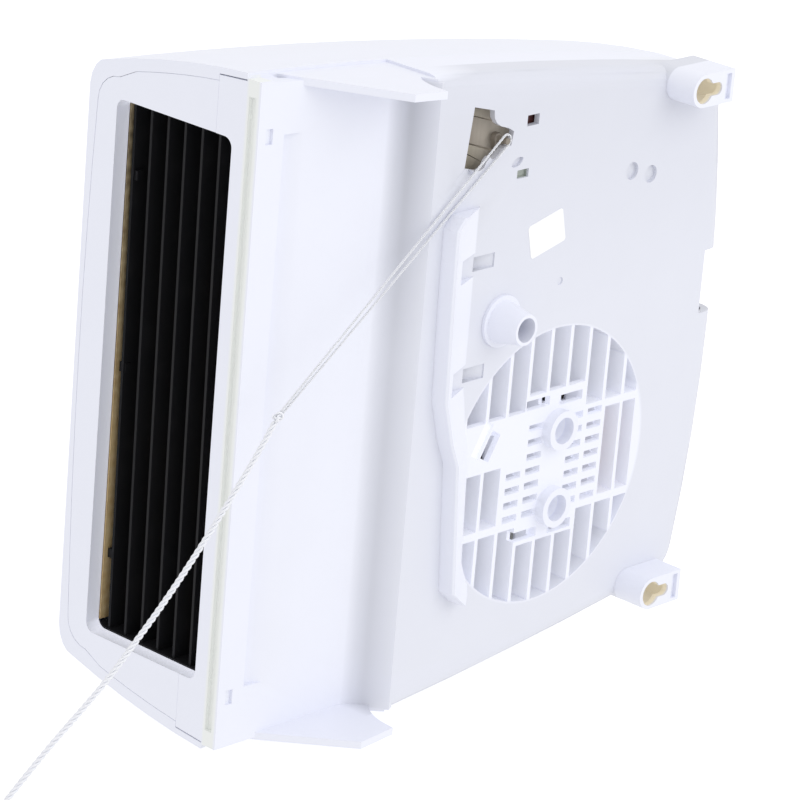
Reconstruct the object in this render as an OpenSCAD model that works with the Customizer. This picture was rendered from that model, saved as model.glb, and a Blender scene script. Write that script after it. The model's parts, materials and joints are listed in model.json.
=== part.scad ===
// Wall-mounted bathroom fan heater with a pull-cord switch, blowing downwards.
// Millimetres. X is to the right seen from the front, Y points into the wall, Z is up.
// The wall is the plane y = 0. The origin lies on it, midway between the two keyhole mouths.
// Inside the modules heights are measured from the flat underside, and depths from the wall.

/* [Body] */
// Half width of the body at the underside
body_half_bottom = 134; // [126:1:142]
// Half width of the body at the top
body_half_top = 106; // [100:1:112]
// Height of the body
body_h = 252; // [246:1:262]
// Depth of the body from the wall to the front face
body_d = 128; // [122:1:140]
// Bow of each side
side_bow = 3.5; // [0:0.5:6]
// Drop of the top edge from its middle to its corners
top_drop = 6; // [2:0.5:10]
// Radius of the upper corners
corner_r = 15; // [10:1:22]
// Depth at which the cover meets the chassis
parting_d = 43; // [40:0.5:46]
// Thickness of the cover's wall
cover_t = 2.5; // [1.8:0.1:3.2]
// Bow of the front face
front_bow = 4; // [0:0.5:8]
// Radius of the rounding around the front face
front_r = 11; // [6:1:16]

/* [Underside] */
// Half length of the outlet opening
outlet_half = 107.7; // [96:0.1:110]
// Depth of the outlet's rear edge
outlet_d0 = 48.7; // [47:0.1:52]
// Distance from the front face to the outlet's front edge
outlet_front = 18; // [15:0.5:22]
// Corner radius of the outlet opening
outlet_r = 4; // [2:0.5:6]
// Height of the rim wall inside the opening
outlet_rim_h = 6.8; // [5:0.1:9]
// Width of the cover's rim around the bezel
rim_w = 5; // [4:0.5:6]
// Depth of the seam between the bezel and the chassis
seam_d = 57.3; // [55:0.1:60]
// Thickness of the bezel
bezel_t = 2.5; // [2:0.1:3]
// Play between the bezel and what it lies against
bezel_play = 0.1; // [0.05:0.05:0.4]
// Number of louvre slats
slat_count = 6; // [5:1:6]
// Distance from one louvre slat to the next
slat_pitch = 9.1; // [8:0.1:9.4]
// Thickness of one louvre slat
slat_t = 1.2; // [0.8:0.1:1.6]
// Height of the louvre grid
louvre_h = 14; // [10:1:15]
// Turn of the louvre grid in its seat
louvre_turn = 0.8; // [0:0.1:0.9]

/* [Chassis] */
// Depth of the back panel's outer face
panel_d = 14; // [12:0.5:16]
// Thickness of the back panel
panel_t = 2.5; // [2:0.1:3.5]
// Height of the panel's lower edge
panel_low = 73.3; // [70:0.1:76]
// Rounding of the panel's edge
edge_r = 7; // [4:1:8]
// Thickness of the cheeks that reach the wall
cheek_t = 3; // [2:0.5:4]
// Inset of the cheeks' outer faces from the body's outline
cheek_inset = 1; // [0.6:0.1:1.6]
// Height where a cheek first touches the wall
cheek_foot = 43.5; // [38:0.5:46]
// Height of the cheek's contact with the wall
cheek_contact = 17.5; // [12:0.5:18]

/* [Wall fixings] */
// Height of the keyhole mouths above the underside
key_h = 212; // [208:0.5:214]
// Distance between the two keyholes
key_spacing = 213; // [206:0.5:214]
// Radius of the keyhole mouth
key_mouth_r = 5.2; // [4.5:0.1:5.4]
// Width of the keyhole slot
key_slot_w = 5.2; // [4:0.1:5.8]
// Rise from the mouth to the end of the slot
key_rise = 8; // [6:0.5:9]
// Width of a keyhole boss
key_boss_w = 13.5; // [13:0.1:15]
// Height of a keyhole boss
key_boss_h = 24; // [22:0.5:25]
// Thickness of the wall that the keyhole is cut in
key_wall = 3; // [2:0.5:4]

/* [Fan and grille] */
// Sideways place of the fan's axis
fan_x = -43.5; // [-45:0.5:-42]
// Height of the fan's axis
fan_z = 158; // [156:0.5:160]
// Radius of the intake grille
grille_r = 57.3; // [55:0.1:59]
// Thickness of one grille bar
bar_t = 2; // [1.5:0.1:2.6]
// Distance from one grille bar to the next
bar_pitch = 11.6; // [11:0.1:12]
// Depth of the grille bars
bar_depth = 10; // [8:0.5:10.5]
// Distance between the two motor screws
motor_screw_gap = 32.7; // [31:0.1:35]
// Outer radius of the impeller
impeller_r = 48; // [42:0.5:50]
// Play between the impeller and the scroll housing
impeller_play = 1; // [0.6:0.1:1.6]
// Number of impeller blades
blade_count = 24; // [18:2:36]
// Radius of the motor shaft
shaft_r = 2.5; // [2:0.1:3]
// Running clearance of the shaft in its bearings
bearing_play = 0.04; // [0.02:0.01:0.08]
// Thickness of the stack of motor laminations
stack_t = 16; // [12:1:18]
// Radius of the rotor
rotor_r = 12; // [10:0.5:13]
// Air gap around the rotor
air_gap = 0.5; // [0.4:0.1:0.8]
// Wall of the scroll housing
scroll_t = 2; // [1.5:0.1:2.5]

/* [Heating element] */
// Number of mica boards
mica_count = 5; // [4:1:6]
// Thickness of a mica board
mica_t = 0.8; // [0.5:0.1:1.2]
// Height of the mica boards
mica_h = 24; // [18:1:28]
// Radius of one winding of the heating wire
coil_r = 3; // [2:0.5:3.5]

/* [Pull switch and cord] */
// Travel of the pull cord
pull_travel = 7; // [5:0.5:8]
// Length of the switch lever from its pivot to its hook
lever_r = 13; // [12:0.5:14]
// Diameter of the thin upper cord, a long loop
upper_cord_d = 1.1; // [0.9:0.1:1.4]
// Diameter of the lower cord
lower_cord_d = 2.4; // [2:0.1:3]
// Clearance of the hook in the cord's loop
hook_play = 0.3; // [0.2:0.1:0.5]

/* [Hidden] */

plastic_white = [0.93, 0.94, 0.96];
plastic_black = [0.05, 0.05, 0.05];
fan_grey = [0.78, 0.78, 0.76];
steel_grey = [0.6, 0.6, 0.62];
mica_tan = [0.72, 0.62, 0.45];
switch_brown = [0.5, 0.46, 0.41];
cord_white = [0.95, 0.95, 0.95];
$fn = 40;
eps = 0.01;

outlet_d1 = body_d - outlet_front;

// ---- frame helpers ----

module lift() translate([0, 0, -key_h]) children();

// extrudes an outline drawn in x and height from depth d0 to depth d1
module slab(d0, d1) translate([0, -d0, 0]) rotate([90, 0, 0]) linear_extrude(d1 - d0) children();

// extrudes a profile drawn in y and height from x0 to x1
module span(x0, x1) translate([x0, 0, 0]) rotate([90, 0, 90]) linear_extrude(x1 - x0) children();

// extrudes an outline drawn in x and depth from height z0 to height z1
module plate(z0, z1) translate([0, 0, z0]) mirror([0, 1, 0]) linear_extrude(z1 - z0) children();

// a box given by its ranges in x, depth and height
module block(x0, x1, d0, d1, z0, z1) translate([x0, -d1, z0]) cube([x1 - x0, d1 - d0, z1 - z0]);

// a round bar along the depth
module pin(x, z, r, d0, d1) translate([x, -d0, z]) rotate([90, 0, 0]) cylinder(r = r, h = d1 - d0);

// a round bar along x
module bar_x(d, z, r, x0, x1) translate([x0, -d, z]) rotate([0, 90, 0]) cylinder(r = r, h = x1 - x0);

// a solid through rings of equally many points, each counter-clockwise about the way they go
module loft(rings) {
    n = len(rings[0]);
    m = len(rings);
    sides = [for (i = [0:m - 2]) for (j = [0:n - 1])
        let (a = i * n + j, b = i * n + (j + 1) % n) each [[a, b + n, b], [a, a + n, b + n]]];
    caps = [[for (j = [0:n - 1]) j], [for (j = [n - 1:-1:0]) (m - 1) * n + j]];
    polyhedron(points = [for (r = rings) each r], faces = concat(sides, caps));
}

// ---- the body's outline ----

// half width of the body at a height
function half_at(z) = let (u = z / body_h)
    body_half_bottom + (body_half_top - body_half_bottom) * u + 4 * side_bow * u * (1 - u);

corner_a0 = 9;
corner_a1 = 82;
corner_steps = 6;
side_steps = 9;
top_steps = 8;
corner_min_r = 4;
side_top = body_h - top_drop - corner_r;

// the body's outline from a height upwards, moved inwards by an inset
function outline(z0, inset = 0) =
    let (r = max(corner_r - inset, corner_min_r),
         move = inset - corner_r + r,
         cx = half_at(side_top) - corner_r * cos(corner_a0) - move,
         cz = side_top - corner_r * sin(corner_a0) - move,
         ex = cx + r * cos(corner_a1), ez = cz + r * sin(corner_a1),
         side_end = cz + r * sin(corner_a0), peak = body_h - inset,
         side = [for (i = [0:side_steps - 1]) let (z = z0 + (side_end - z0) * i / side_steps)
             [half_at(z) - inset, z]],
         corner = [for (i = [0:corner_steps]) let (a = corner_a0 + (corner_a1 - corner_a0) * i / corner_steps)
             [cx + r * cos(a), cz + r * sin(a)]],
         top = [for (i = [1:top_steps - 1]) let (x = ex * (1 - 2 * i / top_steps))
             [x, peak - (peak - ez) * pow(x / ex, 2)]],
         half = concat(side, corner))
    concat(half, top, [for (i = [len(half) - 1:-1:0]) [-half[i][0], half[i][1]]]);

// an outline as a ring of points at one depth
function at_depth(points, d) = [for (p = points) [p[0], -d, p[1]]];

// ---- front cover and bezel ----

side_lean = 5;
side_sweep = 8;
front_lean = 4;
front_mid = 0.45;

// inset of the cover's sides at a share of the way to the front
function side_inset(t) = side_lean * t + side_sweep * t * t;
function inset_at(d) = side_inset(min(1, max(0, (d - parting_d) / (body_d - front_r - parting_d))));

// one ring of the cover: the section at a depth, drawn in towards the front's middle by a shrink
function cover_ring(d, inset, wall, shrink = 1) =
    let (front = max(0, (d - body_d + front_r) / front_r),
         floor_z = wall > 0 ? bezel_t : 0,
         mid = body_h * front_mid)
    [for (q = outline(floor_z, inset + wall)) let (x = q[0] * shrink, z = mid + (q[1] - mid) * shrink)
        [x, wall - d + front * (front_bow * pow(x / body_half_bottom, 2) + front_lean * z / body_h), z]];

function cover_rings(wall) = let (d_side = body_d - front_r, full = side_inset(1))
    concat([for (t = [0:0.2:1]) cover_ring(parting_d + (d_side - parting_d) * t, side_inset(t), wall)],
           [for (a = [22.5:22.5:90])
               cover_ring(d_side + front_r * sin(a), full + front_r * (1 - cos(a)), wall)],
           [for (s = [0.75:-0.25:0.25]) cover_ring(body_d, full + front_r, wall, s)]);

// the bezel's outline in x and depth, inside the cover's rim
function bezel_outline(gap = 0) =
    let (d_front = body_d - rim_w - gap, r = front_r,
         x_end = body_half_bottom - side_inset(1) - rim_w - gap,
         d_corner = d_front - front_bow * pow((x_end - r) / body_half_bottom, 2),
         edge = [for (i = [0:5]) let (d = seam_d + (d_corner - r - seam_d) * i / 6)
             [body_half_bottom - inset_at(d) - rim_w - gap, d]],
         corner = [for (a = [0:18:72]) [x_end - r * (1 - cos(a)), d_corner - r + r * sin(a)]],
         front = [for (i = [0:4]) let (x = (x_end - r) * (1 - i / 4))
             [x, d_front - front_bow * pow(x / body_half_bottom, 2)]],
         half = concat(edge, corner, front))
    concat(half, [for (i = [len(half) - 2:-1:0]) [-half[i][0], half[i][1]]]);

// the part of the underside between two depths, inside the cover's side walls
function floor_outline(d0, d1, gap) = let (w = body_half_bottom - cover_t - gap)
    [[w - inset_at(d0), d0], [w - inset_at(d1), d1], [inset_at(d1) - w, d1], [inset_at(d0) - w, d0]];

module outlet_shape(grow = 0) {
    x = outlet_half - outlet_r;
    d0 = outlet_d0 + outlet_r;
    d1 = outlet_d1 - outlet_r;
    r = outlet_r + grow;
    translate([-x, d0 - r]) square([2 * x, d1 - d0 + 2 * r]);
    translate([-x - r, d0]) square([2 * (x + r), d1 - d0]);
    for (cx = [-x, x]) for (cd = [d0, d1]) translate([cx, cd]) circle(r = r);
}

post_x = 25.3;
post_z = 118;
post_r = 9.2;
post_end_r = 6.2;
post_bore_r = 4.9;
post_floor_d = 20;
pillar_r = 4.5;
screw_r = 1.9;
screw_play = 0.1;
head_r = 3.4;
small_head_r = 2.8;
head_t = 2;
cover_screw_len = 20;
strut_bore_len = 14;
switch_bore_len = 10;

module front_cover() color(plastic_white) lift() {
    difference() {
        loft(cover_rings(0));
        loft(cover_rings(cover_t));
        // the underside within the rim is left to the bezel and to the chassis
        plate(-1, bezel_t + 1) polygon(bezel_outline());
        plate(-1, bezel_t + 1) polygon(floor_outline(parting_d - 1, seam_d + eps, 0));
    }
    // the pillar that takes the cover's screw
    difference() {
        pin(post_x, post_z, pillar_r, post_floor_d + panel_t, body_d - cover_t - 1);
        pin(post_x, post_z, screw_r + screw_play, post_floor_d, post_floor_d + cover_screw_len + 4);
    }
}

outlet_rim_t = 1.6;

// the low wall around the opening, between two depths
module outlet_rim(d0, d1) intersection() {
    difference() {
        plate(0, outlet_rim_h) outlet_shape(outlet_rim_t);
        plate(-1, outlet_rim_h + 1) outlet_shape();
    }
    block(-outlet_half - 10, outlet_half + 10, d0, d1, -1, outlet_rim_h + 1);
}

module outlet_bezel() color(plastic_white) lift() {
    difference() {
        plate(0, bezel_t) polygon(bezel_outline(bezel_play));
        plate(-1, bezel_t + 1) outlet_shape();
    }
    outlet_rim(seam_d, outlet_d1 + 10);
}

louvre_z0 = outlet_rim_h;
louvre_z1 = louvre_z0 + louvre_h;
louvre_inset = 0.6;
louvre_play = 0.4;
mica_lip = 0.2;
// the front slat's depth at the middle of the grid, and the depth of the mica lining in front of it
slat_front_d = outlet_d1 - 3.4;
lining_d = outlet_d1 + mica_lip - mica_t;
stay_x = [-77, 0, 77];
stay_low = 1.8;
stay_h = 3;
stay_end_w = 3.8;

module outlet_louvre() color(plastic_black) lift() {
    // the frame at the ends and at the back, on the rim's edge
    difference() {
        plate(louvre_z0, louvre_z1) outlet_shape(outlet_rim_t);
        plate(louvre_z0 - 1, louvre_z1 + 1) outlet_shape(-louvre_inset);
        block(-outlet_half - 5, outlet_half + 5, lining_d - louvre_play, outlet_d1 + 5, 0, louvre_z1 + 1);
    }
    // slats that lie a little askew in the frame
    intersection() {
        translate([0, -slat_front_d, 0]) rotate([0, 0, -louvre_turn]) for (i = [0:slat_count - 1])
            translate([0, slat_pitch * i, 0])
                block(-outlet_half - 3, outlet_half + 3, -slat_t / 2, slat_t / 2,
                      louvre_z0 + 1, louvre_z1 - 1);
        plate(louvre_z0, louvre_z1) outlet_shape(0);
    }
    // stays across the slats, whose ends show as small nubs along the slats' edges
    for (x = stay_x) {
        block(x - stay_end_w / 2, x + stay_end_w / 2, slat_front_d - 1, lining_d - louvre_play,
              louvre_z0 + stay_low, louvre_z0 + stay_low + stay_h);
        block(x - slat_t / 2, x + slat_t / 2, outlet_d0, slat_front_d, louvre_z1 - 1 - stay_h, louvre_z1 - 1);
    }
}

// ---- rear chassis ----

wall_t = 2.2;
round_steps = [0:22.5:90];
duct_foot_d = 35.6;
duct_head_d = 29;
duct_head_z = 57;
groove_low = 12;
groove_mid = 17;
groove_high = 20.6;
groove_deep = 2;
channel_d = 41.5;
channel_floor = 2;
channel_t = 1.5;
strip_t = 2.5;
strip_play = 0.5;
lip_d = 50;
lip_gap = 0.5;
end_wall_x = 8.5;
end_wall_h = 20;
end_block_h = 12;

// y of the duct wall's outer face at a height
function duct_y(z) = -duct_foot_d + (duct_foot_d - duct_head_d) * z / duct_head_z;

module tray() difference() {
    loft(concat([for (a = round_steps)
        at_depth(outline(panel_low, edge_r * (1 - sin(a))), panel_d + edge_r * (1 - cos(a)))],
        [at_depth(outline(panel_low), parting_d)]));
    loft(concat([for (a = round_steps)
        at_depth(outline(panel_low - 20, wall_t + edge_r * (1 - sin(a))),
                 panel_d + panel_t + edge_r * (1 - cos(a)))],
        [at_depth(outline(panel_low - 20, wall_t), parting_d + 1)]));
}

// the flange and the lip that the cover's edge slides over
module cover_lip() let (lip_inset = cover_t + lip_gap + inset_at(lip_d + cover_t)) {
    difference() {
        slab(parting_d - 2.5, parting_d) polygon(outline(panel_low, 1));
        slab(parting_d - 3, parting_d + 1) polygon(outline(panel_low - 10, lip_inset + wall_t));
    }
    difference() {
        slab(parting_d - 1, lip_d) polygon(outline(16, lip_inset));
        slab(parting_d - 2, lip_d + 1) polygon(outline(10, lip_inset + wall_t));
    }
}

// the space between the body's sides, inset from its outline
module inside_sides(inset) slab(-1, body_d) polygon(outline(-1, inset));

// the two sides of the chassis below the panel: cheeks that reach the wall
module cheeks() let (top = cheek_foot + cheek_contact) intersection() {
    span(-body_half_bottom - 5, body_half_bottom + 5)
        polygon([[-parting_d, 0], [1.5 - parting_d, 13.5], [0, cheek_foot], [0, top], [-4, top + 0.3],
                 [-8, top + 0.7], [-11.3, top + 1.6], [-15, top + 3.1], [-18, top + 4.9], [-20.5, top + 7],
                 [-23, top + 9.7], [-25, top + 12.3], [-25.5, panel_low + 3], [-parting_d, panel_low + 3]]);
    difference() {
        inside_sides(cheek_inset);
        slab(-2, body_d + 1) polygon(outline(-2, cheek_inset + cheek_t));
    }
}

// plates that close the corners between the ledge, the cheeks and the panel's side walls
module gussets() intersection() {
    span(-body_half_bottom - 5, body_half_bottom + 5)
        polygon([[-panel_d - 1.5, panel_low - 0.8], [-duct_head_d + 1, duct_head_z + 5.5],
                 [-duct_head_d + 1, panel_low + 3], [-panel_d - edge_r, panel_low + 3]]);
    difference() {
        inside_sides(cheek_inset);
        slab(-2, body_d + 1) polygon(outline(-2, cheek_inset + 1 + cheek_t));
    }
}

// the duct's rear wall, its fillet and the ledge under the panel
module duct_profile() {
    polygon([[duct_y(0), 0], [duct_y(duct_head_z), duct_head_z], [-duct_head_d + 0.5, duct_head_z + 1.9],
             [-duct_head_d + 1.6, duct_head_z + 4.3], [-duct_head_d + 3.2, duct_head_z + 6.2],
             [-duct_head_d + 4.4, duct_head_z + 7.2], [-panel_d, panel_low],
             [-panel_d - 1, panel_low + panel_t],
             [-duct_head_d + 2.6, duct_head_z + 9.2], [-duct_head_d - 1, duct_head_z + 5.2],
             [duct_y(duct_head_z) - wall_t, duct_head_z + 0.6], [duct_y(0) - wall_t, 0]]);
    // thicker behind the groove
    polygon([[duct_y(0) - 1, groove_low - 4], [duct_y(groove_high) - 1, groove_high + 4],
             [duct_y(groove_high) - wall_t - 1.5, groove_high + 3],
             [duct_y(0) - wall_t - groove_deep, groove_low - 3]]);
}

module duct_wall() {
    intersection() {
        span(-body_half_bottom - 5, body_half_bottom + 5) duct_profile();
        inside_sides(cheek_inset + 1);
    }
    // the strip on the underside behind the seam, and the outlet's rear edge
    difference() {
        plate(0, strip_t) polygon(floor_outline(channel_d, seam_d - bezel_play, strip_play));
        plate(-1, strip_t + 1) outlet_shape();
    }
    outlet_rim(parting_d, seam_d - bezel_play);
    // the recessed channel between the strip and the wall's foot, and the blocks that close it at both ends
    intersection() {
        union() {
            for (r = [[channel_d, 0], [duct_foot_d + 1, channel_floor]])
                block(-body_half_bottom, body_half_bottom, r[0], channel_d + channel_t,
                      r[1], channel_floor + channel_t);
            for (s = [0, 1]) mirror([s, 0, 0])
                block(body_half_bottom - end_wall_x, body_half_bottom, duct_foot_d + 1, parting_d,
                      0, end_block_h);
        }
        inside_sides(cheek_inset + 1);
    }
    for (s = [0, 1]) mirror([s, 0, 0]) let (x = body_half_bottom - end_wall_x)
        block(x, x + cheek_t, duct_foot_d + 1, lip_d + 4, 0, end_wall_h);
}

ramp_d = 6.8;
// the raised ramp beside the grille: place along x, height of its lower edge and of its upper end
ramp_edge = [[-88, 104, 115], [-82, 97.2, 114], [-28, 93, 110], [-18, 88.6, 106], [0, 83.3, 103],
             [40, 82, 103], [69, 81.5, 103], [74, 85.4, 103]];

module ramp() loft([for (e = ramp_edge)
    [[e[0], -panel_d - 1, e[1] - 1], [e[0], -ramp_d - 0.8, e[1]], [e[0], -ramp_d, e[1] + 0.8],
     [e[0], -panel_d - 1, e[2]]]]);

grille_x = -41.7;
grille_z = 153.8;
grille_low = 104.5;
grille_high = 205.8;
grille_ring = 2;
bar_first = 116.1;
bar_count = 8;
rib_x = [-22.6, -63.6];
rib_w = 3.4;
// plates between the bars: x from and to, height from and to
island = [[-73.5, -10.5, 139.4, 174.5], [-65.3, -20.9, 128.5, 187.5], [-37.5, -16.5, 104, 139]];
row_pitch = 6.05;
row_x0 = -24.4;
fine_w = 2.8;
fine_l = 8.4;
// one column of fine slots: height of its middle, first row, last row
columns = [[134.6, 3, 6], [146, 0, 6], [169.7, 0, 6], [181, 0, 6]];
long_w = 4;
long_l = 13.6;
long_slots = [[-14.4, 145.8], [-15.7, 165.4], [-69.6, 144.8], [-70.2, 165.4]];
cup_r = 8.3;
cup_bore_r = 5.5;
cup_top_d = 9.5;
cup_floor_d = 21.5;
cup_end_d = panel_d + bar_depth;
motor_screw_x = [fan_x - motor_screw_gap / 2, fan_x + motor_screw_gap / 2];

module grille_area(grow = 0) intersection() {
    translate([grille_x, grille_z]) circle(r = grille_r + grow, $fn = 80);
    translate([grille_x - 2 * grille_r, grille_low - grow])
        square([4 * grille_r, grille_high - grille_low + 2 * grow]);
}

module grille() {
    slab(panel_d + 1, panel_d + bar_depth) difference() {
        grille_area(grille_ring);
        grille_area();
    }
    slab(panel_d, panel_d + bar_depth) intersection() {
        grille_area(grille_ring / 2);
        union() {
            for (i = [0:bar_count - 1])
                translate([grille_x - grille_r, bar_first + bar_pitch * i - bar_t / 2])
                    square([2 * grille_r, bar_t]);
            for (x = rib_x) translate([x - rib_w / 2, grille_z - grille_r]) square([rib_w, 2 * grille_r]);
        }
    }
    slab(panel_d, panel_d + panel_t) intersection() {
        grille_area(grille_ring / 2);
        for (r = island) translate([r[0], r[2]]) square([r[1] - r[0], r[3] - r[2]]);
    }
}

module island_slots() {
    for (c = columns) for (k = [c[1]:c[2]])
        translate([row_x0 - row_pitch * k - fine_w / 2, c[0] - fine_l / 2]) square([fine_w, fine_l]);
    for (s = long_slots) translate([s[0] - long_w / 2, s[1] - long_l / 2]) square([long_w, long_l]);
}

key_back_d = panel_d + edge_r + 1;
key_room_d = key_back_d - 2.5;
key_side = 1.1;

module key_boss(s) let (x = s * key_spacing / 2, low = key_h - 0.2) {
    block(x - key_boss_w / 2, x + key_boss_w / 2, 0, key_back_d, low, key_h - 6 + key_boss_h);
    pin(x, low, key_boss_w / 2, 0, key_back_d);
}

module key_cut(s) let (x = s * key_spacing / 2, top = key_h - 6 + key_boss_h) {
    // room behind the keyhole's wall for the wall screw's head
    block(x - key_boss_w / 2 + key_side, x + key_boss_w / 2 - key_side, key_wall, key_room_d,
          key_h - key_mouth_r + 2.2, key_h + key_rise + 4);
    block(x - key_boss_w / 2 + key_side + 0.65, x + key_boss_w / 2 - key_side - 0.65, key_wall, key_room_d,
          key_h - key_mouth_r + 1, key_h);
    pin(x, key_h, key_mouth_r, -1, key_wall + 1);
    pin(x, key_h + key_rise, key_slot_w / 2, -1, key_wall + 1);
    block(x - key_slot_w / 2, x + key_slot_w / 2, -1, key_wall + 1, key_h, key_h + key_rise);
    // a shallow pocket above the slot
    block(x - key_boss_w / 2 + 1.5, x + key_boss_w / 2 - 1.5, -1, 1.6, top - 5, top - 2);
}

// the window over the pull switch
window = [[114.4, 92.6], [111.5, 104], [108.3, 104.5], [106, 106.2], [104.5, 108.7], [103.3, 112.7],
          [101.5, 116.2], [96, 115.2], [96.2, 111], [95.1, 107.2], [93.7, 104.4], [91.7, 102], [89.4, 100.8],
          [88.5, 98.3], [90.6, 89.7]];
// the shallow channel that leads the cord away from the window: its ends and half width
chute_start = [89.5, 94];
chute_end = [76.5, 74];
chute_w = 3.4;
chute_deep = 1.9;
notch_x0 = 5;
notch_x1 = 32;
notch_low = body_h - 11;
side_slots = [[51.2, 105.5], [6.2, 105.2]];
slot_half = 2.9;
slot_reach = 6;
slot_end = 3.4;
catch_x = 111;
catch_z = 5.2;
catch_half = 1.6;
catch_deep = 0.5;
// round blind recesses, and a small dimple: place along x, height, radius and depth
recesses = [[73.9, 189.3, 3.6, 1.7], [70.8, 201, 3.6, 1.7], [35.2, 151.7, 1.6, 0.5]];
// the opening over the switch's contact block, and a blind one beside it: x and height, from and to
contact_window = [102.2, 106.5, 123.5, 130.2];
blind_window = [81.8, 85.2, 120.3, 126.8];
blind_deep = 2;
backing_t = 0.8;
backing_d = panel_d + 4.6;
// the lens-shaped recess beside the switch windows
lens_at = [88.6, 119.8];
lens_side = [2.7, -1];
lens_r = 4.6;
lens_deep = 1.4;
post_foot_r = 10.5;
strut_r = 4;
strut_bore_r = 1.5;
scroll_d0 = 55;
// posts that carry the scroll housing, and posts that carry the switch
scroll_posts = [[-104, 118], [-100, 190], [24, 190]];
switch_posts = [[78, 92], [78, 116]];
switch_post_d = 31;

// the cord's line: the hook that pulls it, its knot, and its pull direction
cord_hook = [98.6, 111.2];
cord_knot_at = [10.8, -2.5];
cord_line = cord_knot_at - cord_hook;
pull_dir = cord_line / norm(cord_line);
cord_d = 13;
hook_r = 1.3;
half_turn = pull_travel / lever_r * 90 / PI;
hook_end = cord_hook + pull_dir * pull_travel;

// the slot in the panel that the lever's hook moves along
module hook_slot() for (k = [0:0.25:1]) let (at = cord_hook + (hook_end - cord_hook) * k)
    pin(at[0], at[1], hook_r + 0.9, panel_d - 1, panel_d + panel_t + 1);

// a shallow channel in the panel, deepest at the window
module chute() let (from = chute_start, along = (chute_end - from) / norm(chute_end - from),
                    side = [along[1], -along[0]] * chute_w)
    loft([for (k = [0, 0.35, 0.7, 1])
        let (at = from + (chute_end - from) * k, deep = chute_deep * pow(1 - k, 1.5))
        [[at[0] - side[0], eps - panel_d, at[1] - side[1]],
         [at[0] - side[0] * 0.5, -panel_d - deep - eps, at[1] - side[1] * 0.5],
         [at[0] + side[0] * 0.5, -panel_d - deep - eps, at[1] + side[1] * 0.5],
         [at[0] + side[0], eps - panel_d, at[1] + side[1]]]]);

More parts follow.
